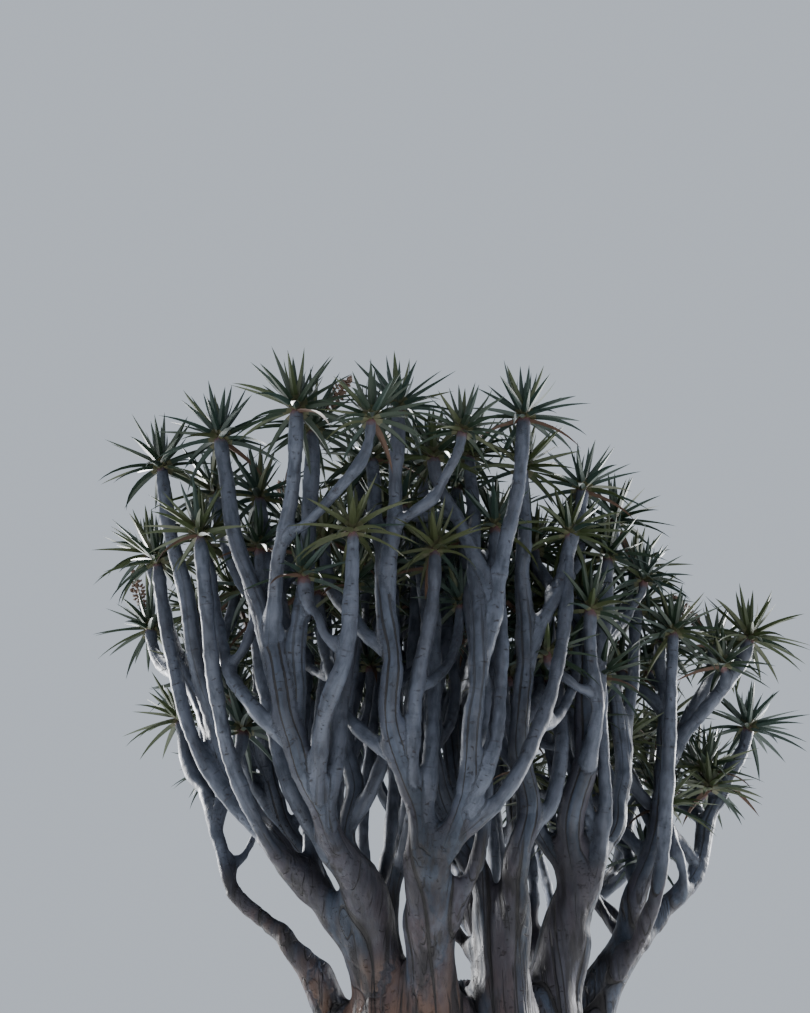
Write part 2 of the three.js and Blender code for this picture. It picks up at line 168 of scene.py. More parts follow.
def makeDraw(seed):
    # a steady stream of numbers from 0 to 1
    state = seed

    def draw():
        nonlocal state
        state = (state * 1664525 + 1013904223) % 4294967296
        return state / 4294967296

    return draw


def unit(vector):
    return vector / np.linalg.norm(vector)


def polar(heading, reach, rise):
    turn = math.radians(heading)
    return np.array([reach * math.cos(turn), reach * math.sin(turn), rise])


def outwardOf(point):
    return unit(np.array([point[0], point[1], 0.0]))


upright = np.array([0.0, 0.0, 1.0])


class Course:
    # A limb's middle line: a curve that keeps its direction at both ends, with a little sway.
    def __init__(self, foot, leave, tip, arrive, sway=0.0, phase=0.0, holds=(curveHold, curveHold)):
        length = np.linalg.norm(tip - foot)
        self.handles = [foot, foot + leave * holds[0] * length, tip - arrive * holds[1] * length, tip]
        self.sway = sway
        self.phase = phase

    def at(self, t):
        t = np.asarray(t, float)
        s = 1 - t
        shares = [s**3, 3 * s**2 * t, 3 * s * t**2, t**3]
        point = sum(share[..., None] * handle for share, handle in zip(shares, self.handles))
        swing = self.sway * np.sin(np.pi * t) ** 2
        turn = self.phase + 3 * np.pi * t
        point[..., 0] += swing * np.cos(turn)
        point[..., 1] += swing * np.sin(turn)
        return point

    def heading(self, t):
        nudge = 1e-4
        return unit(self.at(min(1, t + nudge)) - self.at(max(0, t - nudge)))


def lobeCourse(lobe):
    heading, reach, rise, radius = lobe
    foot = polar(heading, reach * lobeRoot["inset"], lobeRoot["rise"])
    tip = polar(heading, reach, rise)
    leave = unit(outwardOf(foot) * lobeRoot["leaveOut"] + upright)
    arrive = unit(outwardOf(tip) * lobeRoot["arriveOut"] + upright)
    return Course(foot, leave, tip, arrive)


def planBoughs(draw):
    boughs = []
    for name, lobe, at, tipSizes, crown, spread in boughPlan:
        heading, reach, rise, footRadius, tipRadius = tipSizes
        lobeLine = lobeCourse(lobes[lobe])
        foot = lobeLine.at(at)
        tip = polar(heading, reach, rise)
        aim = unit(tip - foot)
        leave = unit(lobeLine.heading(at) + aim)
        arrive = unit(outwardOf(tip) * boughSizes["arriveOut"] + upright + aim * boughSizes["arriveAim"])
        sway = boughSizes["sway"] * (boughSizes["leastSway"] + draw())
        course = Course(foot, leave, tip, arrive, sway, 2 * math.pi * draw())
        boughs.append({"name": name, "course": course, "foot": footRadius, "tip": tipRadius,
                       "crown": crown, "spread": spread, "kinks": [], "at": at})
    return boughs


def planHeads(bough):
    count, heading, reach, rise = bough["crown"]
    step, zigzag, fall = bough["spread"]
    heads = []
    for k in range(count):
        side = k / (count - 1) - 0.5 if count > 1 else 0
        zig = zigzag * (-0.5 if k % 2 else 0.5) if count > 1 else 0
        heads.append(polar(heading + side * step * (count - 1), reach + zig, rise + side * fall))
    return heads


def rosetteAxis(centre):
    lean = stemSizes["outwardTilt"] * min(1, math.hypot(centre[0], centre[1]) / stemSizes["tiltReach"])
    return unit(outwardOf(centre) * lean + upright)


def planStem(bough, k, centre, draw):
    at = 1 - stemSizes["below"] * k
    foot = bough["course"].at(at)
    tangent = bough["course"].heading(at)
    aim = unit(centre - foot)
    leave = unit(tangent * stemSizes["belowBend"] + aim) if k else tangent
    if k == 0:
        foot = foot + tangent * jointGap
    sway = stemSizes["sway"] * (stemSizes["leastSway"] + draw())
    course = Course(foot, leave, centre, rosetteAxis(centre), sway, 2 * math.pi * draw())
    footRadius = (stemSizes["belowRadius"] if k else 1) * bough["tip"]
    if k:
        bough["kinks"].append((at, -outwardOf(centre - foot)))
    stem = {"course": course, "foot": footRadius, "tip": stemSizes["tipRadius"], "head": 1.0, "kinks": [],
            "parent": (bough, at) if k else None}
    return {"name": f"foliage_{bough['name']}_{k + 1}", "bough": bough, "twigs": [stem]}


def nearest(point, others):
    return np.min(np.linalg.norm(others - point, axis=1))


def openEnd(fork, centre, spread, drop, start, heads, limbPoints):
    # the place for a new head, among those round the old one, where the crown is most open
    best = None
    for i in range(forkSizes["tries"]):
        turn = 2 * math.pi * (start + i / forkSizes["tries"])
        level = np.array([math.cos(turn), math.sin(turn), 0.0])
        end = centre + level * spread - upright * drop
        halfway = fork + (end - fork) * forkSizes["halfway"]
        besideLimbs = forkSizes["limbWeight"] * min(forkSizes["limbRoom"], nearest(halfway, limbPoints))
        outside = max(0, level @ outwardOf(centre) + forkSizes["outsideFrom"])
        room = nearest(end, heads) + besideLimbs - outside * forkSizes["outsideWeight"] * spread
        if best is None or room > best[0]:
            best = (room, end)
    return best[1]


def planFork(mass, masses, boughs, draw, sizes, stem):
    # a side stem forks off a stem and grows to where the crown is most open
    centre = stem["course"].at(1)
    at = sizes["at"] + sizes["range"] * draw()
    fork = stem["course"].at(at)
    spread = min(sizes["apart"], sizes["slant"] * np.linalg.norm(centre - fork))
    spread *= forkSizes["leastSpread"] + forkSizes["spreadRange"] * draw()
    drop = sizes["leastDrop"] + sizes["dropRange"] * draw()
    start = draw()
    heads = np.array([twig["course"].at(1) for other in masses for twig in other["twigs"]])
    limbs = [other["twigs"][0] for other in masses if other is not mass] + boughs
    limbPoints = np.concatenate([limb["course"].at(forkSizes["marks"]) for limb in limbs])
    end = openEnd(fork, centre, spread, drop, start, heads, limbPoints)
    level = outwardOf(end - fork)
    leave = unit(stem["course"].heading(at) * forkSizes["bend"] + unit(end - fork))
    if "leaveOut" in sizes:
        leave = wideLeave(fork, stem["course"].heading(at), level, sizes)
    sway = stemSizes["sway"] * draw()
    course = Course(fork, leave, end, rosetteAxis(end), sway, 2 * math.pi * draw(),
                    sizes.get("holds", (curveHold, curveHold)))
    radius = sizes["footRadius"] * (stem["foot"] + (stem["tip"] - stem["foot"]) * at)
    stem["kinks"].append((at, -level))
    mass["twigs"].append({"course": course, "foot": radius, "tip": sizes["tipRadius"] * stem["tip"],
                          "head": sizes.get("head", 1.0), "kinks": [], "parent": (stem, at)})


def wideLeave(fork, heading, level, sizes):
    # a finer stem swings well out of its fork before it turns up, less so towards the outside of the crown
    swing = sizes["leaveOut"] * (1 - outsideCalm * max(0, level @ outwardOf(fork)))
    return unit(heading * sizes["leaveUp"] + level * swing)


def planInner(bough, k, own, masses, draw):
    # an inner stem takes the most open of several ways up beside its bough
    sizes = innerSizes
    at = sizes["at"][k] + sizes["range"] * draw()
    fork = bough["course"].at(at)
    count, heading, reach, rise = bough["crown"]
    heads = np.array([twig["course"].at(1) for mass in masses for twig in mass["twigs"]])
    others = [twig for mass in masses for twig in mass["twigs"]] + boughs
    limbPoints = np.concatenate([limb["course"].at(np.linspace(*sizes["limbMarks"])) for limb in others])
    best = None
    for i in range(sizes["tries"]):
        share = sizes["leastReach"] + sizes["reachRange"] * draw()
        end = polar(heading + sizes["fan"] * (2 * draw() - 1), reach * share,
                    rise - sizes["leastDrop"] - sizes["dropRange"] * draw())
        way = end - fork
        slope = math.hypot(way[0], way[1]) / way[2]
        leave = wideLeave(fork, bough["course"].heading(at), outwardOf(way), sizes)
        course = Course(fork, leave, end, rosetteAxis(end), stemSizes["sway"] * draw(),
                        2 * math.pi * draw(), sizes["holds"])
        free = np.mean([min(sizes["limbRoom"], nearest(point, limbPoints))
                        for point in course.at(sizes["marks"])])
        room = min(sizes["headRoom"], nearest(end, heads)) + sizes["limbWeight"] * free
        room -= sizes["steepWeight"] * max(0, slope - sizes["steepest"])
        if best is None or room > best[0]:
            best = (room, course)
    course = best[1]
    bough["kinks"].append((at, -outwardOf(course.at(1) - fork)))
    foot = sizes["footRadius"] * (bough["foot"] + (bough["tip"] - bough["foot"]) * at)
    inner = {"course": course, "foot": foot, "tip": sizes["tipRadius"], "head": sizes["head"], "kinks": [],
             "start": 360 * draw(), "stalk": None, "parent": (bough, at)}
    own[k % len(own)]["twigs"].append(inner)


def planTree():
    draw = makeDraw(treeSeed)
    boughs = planBoughs(draw)
    masses = [planStem(bough, k, centre, draw)
              for bough in boughs for k, centre in enumerate(planHeads(bough))]
    for mass in masses:
        if draw() < forkSizes["share"]:
            planFork(mass, masses, boughs, draw, forkSizes, mass["twigs"][0])
    for mass in masses:
        for twig in mass["twigs"]:
            twig["start"] = 360 * draw()
            for leaf in range(2 * leafDraws):
                draw()
            twig["stalk"] = 2 * math.pi * draw() if draw() < stalkShare else None
    return boughs, masses


def planFiner():
    # the inner stems and the finer shoots, from a stream of their own
    finer = makeDraw(shootSeed)
    for k in range(innerSizes["perBough"]):
        for bough in boughs:
            if bough["foot"] > innerSizes["leastFoot"]:
                planInner(bough, k, [mass for mass in masses if mass["bough"] is bough], masses, finer)
    for mass in masses:
        for stem in list(mass["twigs"]):
            if finer() < shootSizes["share"]:
                planFork(mass, masses, boughs, finer, shootSizes, stem)
                mass["twigs"][-1].update(start=360 * finer(), stalk=None)
    for k, limb in enumerate(boughs + [twig for mass in masses for twig in mass["twigs"]]):
        limb["salt"] = k
        points = limb["course"].at(np.linspace(0, 1, lengthSteps)) * mm
        limb["length"] = np.linalg.norm(np.diff(points, axis=0), axis=1).sum()


boughs, masses = planTree()
planFiner()
print("plan made:", len(boughs), "boughs,", sum(len(mass["twigs"]) for mass in masses), "rosettes")

# Noise on plain arrays, for the relief of the bark.
farOff = 9.0


def cornerValues(cells, salt):
    # a steady number from 0 to 1 for each cell
    mixed = (cells[:, 0] * 73856093) ^ (cells[:, 1] * 19349663)
    mixed = mixed ^ (cells[:, 2] * 83492791) ^ (salt * 2654435)
    mixed = (mixed ^ (mixed >> 13)) * 1274126177
    mixed = (mixed ^ (mixed >> 16)) & 0x7FFFFFFF
    return mixed / 0x7FFFFFFF


def eased(share):
    return share * share * (3 - 2 * share)


def softNoise(points, salt):
    # from -1 to 1, smooth over a length of one
    cells = np.floor(points).astype(np.int64)
    ease = eased(points - cells)
    total = np.zeros(len(points))
    for corner in np.ndindex(2, 2, 2):
        weight = np.prod(np.where(corner, ease, 1 - ease), axis=1)
        total += weight * cornerValues(cells + np.array(corner), salt)
    return 2 * total - 1


def plateNoise(points, salt):
    # how far a point is from the border between plates, and a number from 0 to 1 for its plate
    cells = np.floor(points).astype(np.int64)
    first = np.full(len(points), farOff)
    second = first.copy()
    plate = np.zeros(len(points))
    for step in np.ndindex(3, 3, 3):
        spot = cells + np.array(step) - 1
        seedPoint = spot + np.stack([cornerValues(spot, salt + k) for k in range(3)], axis=1)
        far = np.linalg.norm(points - seedPoint, axis=1)
        closer = far < first
        second = np.where(closer, first, np.minimum(second, far))
        plate = np.where(closer, cornerValues(spot, salt + 3), plate)
        first = np.where(closer, far, first)
    return second - first, plate


def centreLine(limb, t):
    # a limb's middle in metres, pushed aside at its forks and straying in between
    line = limb["course"].at(t) * mm
    held = np.clip(kinkSizes["endHold"] * t, 0, 1) * np.clip(kinkSizes["endHold"] * (1 - t), 0, 1)
    for at, away in limb["kinks"]:
        near = np.exp(-((t - at) * limb["length"] / kinkSizes["length"]) ** 2)
        line += away * (kinkSizes["push"] * near * held)[:, None]
    for axis in range(2):
        spots = np.stack([t * limb["length"] / kinkSizes["wander"], np.full(len(t), limb["salt"] + 0.5),
                          np.full(len(t), axis + 0.5)], axis=1)
        line[:, axis] += kinkSizes["stray"] * held * softNoise(spots, 9)
    if limb.get("parent"):
        parent, at = limb["parent"]
        shift = centreLine(parent, np.array([at]))[0] - limb["course"].at(0) * mm
        line += np.outer(np.clip(1 - t / kinkSizes["footHold"], 0, 1) ** 2, shift)
    return line


class Tube:
    # One limb after another as close samples in metres: centres, radii and a frame that doesn't twist.
    # Each span is a limb and its radius along it.
    spacing = 0.014
    fewest = 6
    margin = 0.08
    firstSide = (0.3, 1, 0.1)

    def __init__(self, spans, offset=0.0, headed=False):
        centres, radii = [], []
        for limb, radiusAt in spans:
            t = np.linspace(0, 1, max(self.fewest, int(limb["length"] / self.spacing)))
            t = t[1:] if centres else t
            centres.append(centreLine(limb, t))
            radii.append(radiusAt(t) * mm)
        self.headed = headed
        self.centres = np.concatenate(centres)
        self.radii = np.concatenate(radii)
        self.low = (self.centres - self.radii[:, None]).min(axis=0) - self.margin
        self.high = (self.centres + self.radii[:, None]).max(axis=0) + self.margin
        steps = np.linalg.norm(np.diff(self.centres, axis=0), axis=1)
        self.along = offset + np.concatenate([[0], np.cumsum(steps)])
        self.tangents = np.gradient(self.centres, axis=0)
        self.tangents /= np.linalg.norm(self.tangents, axis=1)[:, None]
        side = unit(np.cross(self.tangents[0], self.firstSide))
        sides = []
        for tangent in self.tangents:
            side = unit(side - tangent * (side @ tangent))
            sides.append(side)
        self.sides = np.array(sides)
        self.others = np.cross(self.tangents, self.sides)

    def near(self, points):
        return np.flatnonzero(np.all((points > self.low) & (points < self.high), axis=1))

    def surfaceGap(self, points):
        # how far each point is off the surface, and its nearest sample
        squares = (points**2).sum(1)[:, None] - 2 * points @ self.centres.T + (self.centres**2).sum(1)
        gaps = np.sqrt(np.maximum(squares, 0)) - self.radii
        index = gaps.argmin(axis=1)
        return gaps[np.arange(len(points)), index], index

    def placeOf(self, points, index):
        # a place on the limb as if it were straight: two across and one along
        off = points - self.centres[index]
        return np.stack([
            (off * self.sides[index]).sum(1),
            (off * self.others[index]).sum(1),
            self.along[index] + (off * self.tangents[index]).sum(1),
        ], axis=1)


limbSizes = {
    "voxel": 0.0125,
    "soften": 4,
    "slim": 0.19,
    "slimFrom": 0.35,
    "footSink": (0.52, 0.38),
    "sinkLength": (0.22, 0.1),
    "lastFrom": 0.9,
    "crotchWidth": 0.06,
    "crotchSoften": 34,
    "roundOff": 0.06,
    "forkSwell": 0.14,
    "swellLength": 0.12,
    "forkStart": 0.68,
    "startLength": 0.07,
    "closedTip": 0.55,
    "openTip": 0.45,
    "shrink": 0.5,
    "offsetStep": 3.7,
}


def boughRadius(bough):
    # a foot on a lobe's side is sunk in it for longer than one at its top
    last = int(bough["at"] >= limbSizes["lastFrom"])
    footSink, sinkLength = limbSizes["footSink"][last], limbSizes["sinkLength"][last]

    def radiusAt(t):
        plain = bough["foot"] + (bough["tip"] - bough["foot"]) * t
        swell = 1 + (boughSizes["footSwell"] - 1) * np.exp(-t / boughSizes["swellLength"])
        sunk = np.clip(1 - t / sinkLength, 0, 1) ** 2
        slimmed = 1 - limbSizes["slim"] * np.clip(t / limbSizes["slimFrom"], 0, 1)
        return plain * swell * slimmed * (1 - footSink * sunk)
    return radiusAt


def twigRadius(twig, forked):
    def radiusAt(t):
        foot = twig["foot"] * (1 - limbSizes["slim"])
        plain = foot + (twig["tip"] - foot) * t
        swell = 1 + (limbSizes["forkSwell"] if forked else 0) * np.exp(-t / limbSizes["swellLength"])
        if forked:
            swell = swell * (limbSizes["forkStart"]
                             + (1 - limbSizes["forkStart"]) * np.clip(t / limbSizes["startLength"], 0, 1))
        close = np.sqrt(np.clip((1.0 - t) / limbSizes["roundOff"], 0, 1))
        return limbSizes["shrink"] + plain * swell * (limbSizes["closedTip"] + limbSizes["openTip"] * close)
    return radiusAt


# A dead fork of the outermost limb on the left, broken off short.
deadFork = {"bough": "outer_left", "at": 0.93, "turn": 40, "slant": 0.75, "length": 230, "foot": 36,
            "tip": 17, "leaveUp": 0.3, "arriveOut": 0.4, "salt": 500}


def deadTube(bough, offset):
    foot = bough["course"].at(deadFork["at"])
    turn = math.radians(deadFork["turn"])
    level = np.array([math.cos(turn), math.sin(turn), 0.0])
    tip = foot + unit(level * deadFork["slant"] + upright) * deadFork["length"]
    course = Course(foot, unit(level + upright * deadFork["leaveUp"]), tip,
                    unit(level * deadFork["arriveOut"] + upright))
    stub = {"course": course, "length": deadFork["length"] * mm, "salt": deadFork["salt"], "kinks": []}
    return Tube([(stub, lambda t: deadFork["foot"] + (deadFork["tip"] - deadFork["foot"]) * t)], offset)


def tubesOfBough(bough, own):
    # the bough and its first stem are one limb, and the others fork from it
    tubes = []
    for mass in own:
        for twig in mass["twigs"]:
            first = not tubes
            spans = [(twig, twigRadius(twig, not first))]
            if first:
                spans.insert(0, (bough, boughRadius(bough)))
            tubes.append(Tube(spans, limbSizes["offsetStep"] * len(tubes), headed=True))
    if bough["name"] == deadFork["bough"]:
        tubes.append(deadTube(bough, limbSizes["offsetStep"] * len(tubes)))
    return tubes


def linkMesh(name, mesh):
    piece = bpy.data.objects.new(name, mesh)
    bpy.context.scene.collection.objects.link(piece)
    return piece


def choose(piece):
    bpy.ops.object.select_all(action="DESELECT")
    piece.select_set(True)
    bpy.context.view_layer.objects.active = piece


# The skins of the limbs meet the skin of the trunk at one height, each running on a little under the other.
seam = {"height": 2.75, "reach": 0.07, "sink": 0.2, "fewest": 6}


def barOf(tube, above):
    # the part of a limb above or below the seam
    beyond = (seam["height"] - tube.centres[:, 2]) * (1 if above else -1)
    if beyond.min() > 0:
        return None
    kept = np.flatnonzero(beyond < seam["reach"])
    sunk = seam["sink"] * np.clip(beyond[kept] / seam["reach"], 0, 1)
    return (tube.centres[kept], tube.radii[kept] * (1 - sunk)) if len(kept) >= seam["fewest"] else None


skinSizes = {"barRounding": 5, "quickVoxel": 1.25, "smoothing": 0.5}


def roundBars(name, bars):
    # each bar as a thick curve with closed ends, turned to a mesh
    curve = bpy.data.curves.new(name, "CURVE")
    curve.dimensions = "3D"
    curve.bevel_depth = 1
    curve.bevel_resolution = skinSizes["barRounding"]
    curve.use_fill_caps = True
    for centres, radii in bars:
        spline = curve.splines.new("POLY")
        spline.points.add(len(centres) - 1)
        spline.points.foreach_set("co", np.c_[centres, np.ones(len(centres))].ravel())
        spline.points.foreach_set("radius", radii)
    bars = linkMesh(name, curve)
    choose(bars)
    bpy.ops.object.convert(target="MESH")
    return bpy.context.view_layer.objects.active


def smoothAll(piece, rounds, group=""):
    smooth = piece.modifiers.new("soften", "SMOOTH")
    smooth.vertex_group = group
    smooth.factor = skinSizes["smoothing"]
    smooth.iterations = rounds
    bpy.ops.object.modifier_apply(modifier="soften")


def fuse(piece, voxel, soften):
    # one closed skin over all that the piece holds
    choose(piece)
    remesh = piece.modifiers.new("skin", "REMESH")
    remesh.mode = "VOXEL"
    remesh.voxel_size = voxel * 1
    bpy.ops.object.modifier_apply(modifier="skin")
    smoothAll(piece, soften)


crotchGrades = {"count": 5, "thinShare": 0.25, "steepness": 2}


def roundCrotches(piece, tubes, width, soften):
    # the skin is smoothed again where two limbs part, less so on thin limbs
    points, normals = readPoints(piece.data)
    read = readBark(points, tubes)
    joint = np.clip(1 - read["gap"] / width, 0, 1)
    joint = joint * np.clip(read["radius"] / width, crotchGrades["thinShare"], 1)
    group = piece.vertex_groups.new(name="crotch")
    grades = crotchGrades["count"]
    for grade in range(1, grades + 1):
        chosen = np.flatnonzero(np.ceil(np.minimum(crotchGrades["steepness"] * joint, 1) * grades) == grade)
        group.add(chosen.tolist(), grade / grades, "REPLACE")
    choose(piece)
    smoothAll(piece, soften, "crotch")
    piece.vertex_groups.clear()


def readPoints(mesh):
    points = np.empty(len(mesh.vertices) * 3, np.float32)
    normals = points.copy()
    mesh.vertices.foreach_get("co", points)
    mesh.vertices.foreach_get("normal", normals)
    return points.reshape(-1, 3).astype(float), normals.reshape(-1, 3).astype(float)


def writePoints(mesh, points):
    mesh.vertices.foreach_set("co", points.astype(np.float32).ravel())
    mesh.update()


def layAttribute(mesh, name, values):
    kind, field = ("FLOAT_VECTOR", "vector") if values.ndim == 2 else ("FLOAT", "value")
    layer = mesh.attributes.new(name, kind, "POINT")
    layer.data.foreach_set(field, values.astype(np.float32).ravel())


creaseSizes = {"width": 0.011, "apart": 0.9, "range": 0.5}
unreadRadius = 0.05
ageSizes = {"youngRadius": 0.034, "oldRadius": 0.15, "power": 0.75}


def readBark(points, tubes):
    # for each point its place along its limb, the limb's radius there, how much farther the next limb is,
    # how deep it lies in a crotch, and how near to a head
    count = len(points)
    best, second = np.full(count, farOff), np.full(count, farOff)
    middle, otherMiddle = np.zeros((count, 3)), np.full((count, 3), farOff)
    place, radius = np.zeros((count, 3)), np.full(count, unreadRadius)
    toTip = np.full(count, farOff)
    for tube in tubes:
        near = tube.near(points)
        if not len(near):
            continue
        gap, index = tube.surfaceGap(points[near])
        centre = tube.centres[index]
        closer = gap < best[near]
        won = near[closer]
        otherMiddle[won], second[won] = middle[won], best[won]
        between = ~closer & (gap < second[near])
        lost = near[between]
        otherMiddle[lost], second[lost] = centre[between], gap[between]
        middle[won], best[won] = centre[closer], gap[closer]
        place[won] = tube.placeOf(points[won], index[closer])
        radius[won] = tube.radii[index[closer]]
        toTip[won] = (tube.along[-1] - tube.along[index[closer]]) if tube.headed else farOff
    apart = np.linalg.norm(middle - otherMiddle, axis=1) / radius
    parted = np.clip((apart - creaseSizes["apart"]) / creaseSizes["range"], 0, 1)
    crease = np.clip(1 - (second - best) / creaseSizes["width"], 0, 1) * parted
    return {"place": place, "radius": radius, "gap": second - best, "crease": crease, "toTip": toTip}


def ageOf(radius):
    young, old = ageSizes["youngRadius"], ageSizes["oldRadius"]
    return np.clip((radius - young) / (old - young), 0, 1) ** ageSizes["power"]


# The relief of the limbs follows each limb, and that of the trunk runs upright. They pass into each other
# between two heights.
limbRelief = {"lump": 0.006, "lumpLength": 0.11, "split": 0.018, "splitWidth": 0.016, "ring": 0.0022,
              "ringAcross": 0.3, "ringAlong": 0.028, "ringFade": 0.5, "crease": 0.004, "refill": 0.006,
              "refillWidth": 0.06}
trunkRelief = {"top": 2.68, "foot": 2.5, "leastAge": 0.5, "ageTop": 2.6, "ageRange": 0.5,
               "slender": 0.07, "stoutBy": 0.2, "leastStout": 0.3, "swell": 0.016,
               "swellLength": 0.4, "split": 0.028, "splitWidth": 0.028,
               "plate": 0.007, "plateAcross": 0.15, "plateAlong": 0.36, "plateStray": 0.35,
               "plateStrayLength": 0.12, "plateBevel": 0.12, "plateEdge": 0.006, "plateEdgeWidth": 0.07,
               "plateTop": 2.25, "plateFade": 0.3,
               "ridge": 0.007, "ridgeAcross": 0.06, "ridgeAlong": 2.5, "ridgeBend": 0.3,
               "ridgeBendLength": (2.5, 2.5, 7.0), "refill": 0.012}
collarSizes = {"below": 0.02, "length": 0.07, "stray": 0.012, "strayLength": 0.03}
groundSizes = {"cut": 0.0005, "leastRise": 0.0002}


# The splits: how many lines run around a limb, and how far they stray and over what length.
limbSplits = {"turns": 3, "stray": 2.4, "length": (0.15, 0.15, 0.4), "salt": 2, "kept": (0.12, 0.12, 0.42),
              "lean": 0.0}
trunkSplits = {"turns": 16, "stray": 1.9, "length": (0.16, 0.16, 0.8), "salt": 8, "kept": (0.13, 0.13, 0.5),
               "lean": trunkSizes["lean"] / trunkSizes["topRise"]}
splitSteps = {"step": 0.003, "leastSlope": 4.0, "kept": 0.55, "keptRange": 1.5, "keptSalt": 40,
              "leastKept": 0.05}


def splitLines(place, sizes):
    # how far each place is from the nearest split, with a sign for the side; large where a split gives out
    def field(spot):
        turn = np.arctan2(spot[:, 1] + sizes["lean"] * spot[:, 2], spot[:, 0])
        stray = softNoise(spot / np.array(sizes["length"]), sizes["salt"])
        return np.sin(sizes["turns"] * turn + sizes["stray"] * stray)
    value, step = field(place), splitSteps["step"]
    slope = np.linalg.norm([(field(place + step * axis) - value) / step for axis in np.eye(3)], axis=0)
    fading = softNoise(place / np.array(sizes["kept"]), sizes["salt"] + splitSteps["keptSalt"])
    kept = splitSteps["kept"] + splitSteps["keptRange"] * fading
    return value / np.maximum(slope, splitSteps["leastSlope"]) / np.clip(kept, splitSteps["leastKept"], 1)


def ridgeField(points):
    # long upright ridges that bend a little
    across, along = trunkRelief["ridgeAcross"], trunkRelief["ridgeAlong"]
    bend = softNoise(points / (across * np.array(trunkRelief["ridgeBendLength"])), 32)
    bent = points + trunkRelief["ridgeBend"] * across * bend[:, None]
    return softNoise(bent / np.array([across, across, along]), 12)


def plateRelief(points):
    sizes = trunkRelief
    plate = np.array([sizes["plateAcross"], sizes["plateAcross"], sizes["plateAlong"]])
    stray = softNoise(points / sizes["plateStrayLength"], 5)[:, None]
    border, level = plateNoise(points / plate + sizes["plateStray"] * stray, 6)
    raised = sizes["plate"] * (level - 0.5) * np.clip(border / sizes["plateBevel"], 0, 1)
    return raised - sizes["plateEdge"] * np.clip(1 - border / sizes["plateEdgeWidth"], 0, 1)


def barkOn(piece, tubes):
    # the relief, and the attributes that the colors of the bark read
    young, old = limbRelief, trunkRelief
    points, normals = readPoints(piece.data)
    read = readBark(points, tubes)
    place, rise = read["place"], points[:, 2]
    low = np.clip((old["top"] - rise) / (old["top"] - old["foot"]), 0, 1)
    low = eased(low)
    high = 1 - low
    ageLow = np.clip((old["ageTop"] - rise) / old["ageRange"], 0, 1)
    ageLow = old["leastAge"] + (1 - old["leastAge"]) * ageLow
    age = high * ageOf(read["radius"]) + low * ageLow
    stout = np.clip((read["radius"] - old["slender"]) / old["stoutBy"], old["leastStout"], 1)
    split = splitLines(place, limbSplits)
    out = -high * age * young["split"] * np.clip(1 - np.abs(split) / young["splitWidth"], 0, 1)
    layAttribute(piece.data, "split", split)
    if low.any():
        split = splitLines(points, trunkSplits)
        out -= low * age * old["split"] * stout * np.clip(1 - np.abs(split) / old["splitWidth"], 0, 1)
        layAttribute(piece.data, "splitLow", split)
    out += high * young["lump"] * softNoise(place / young["lumpLength"], 1)
    out += low * young["lump"] * softNoise(points / young["lumpLength"], 1)
    ringLength = np.array([young["ringAcross"], young["ringAcross"], young["ringAlong"]])
    out += high * young["ring"] * (1 - young["ringFade"] * age) * softNoise(place / ringLength, 3)
    out += low * stout * old["swell"] * softNoise(points / old["swellLength"], 7)
    out += low * old["ridge"] * ridgeField(points)
    crease = high * read["crease"]
    out -= young["crease"] * crease
    joint = np.clip(1 - read["gap"] / young["refillWidth"], 0, 1)
    out += (high * young["refill"] + low * old["refill"]) * joint
    plates = stout * np.clip((old["plateTop"] - rise) / old["plateFade"], 0, 1)
    plated = np.flatnonzero(plates > 0)
    if len(plated):
        out[plated] += plates[plated] * plateRelief(points[plated])
    onGround = rise < groundSizes["cut"]
    lifted = points + normals * out[:, None] * ~onGround[:, None]
    lifted[:, 2] = np.where(onGround, 0, np.maximum(lifted[:, 2], groundSizes["leastRise"]))
    writePoints(piece.data, lifted)
    edge = collarSizes["below"] + collarSizes["stray"] * softNoise(place / collarSizes["strayLength"], 4)
    collar = np.clip(1 - (read["toTip"] - edge) / collarSizes["length"], 0, 1)
    layAttribute(piece.data, "barkPlace", place)
    layAttribute(piece.data, "barkAge", age)
    layAttribute(piece.data, "crease", crease)
    layAttribute(piece.data, "collar", collar)
    layAttribute(piece.data, "low", low)


# Materials. Each bark reads the place along its limb, so that its pattern follows every bend.


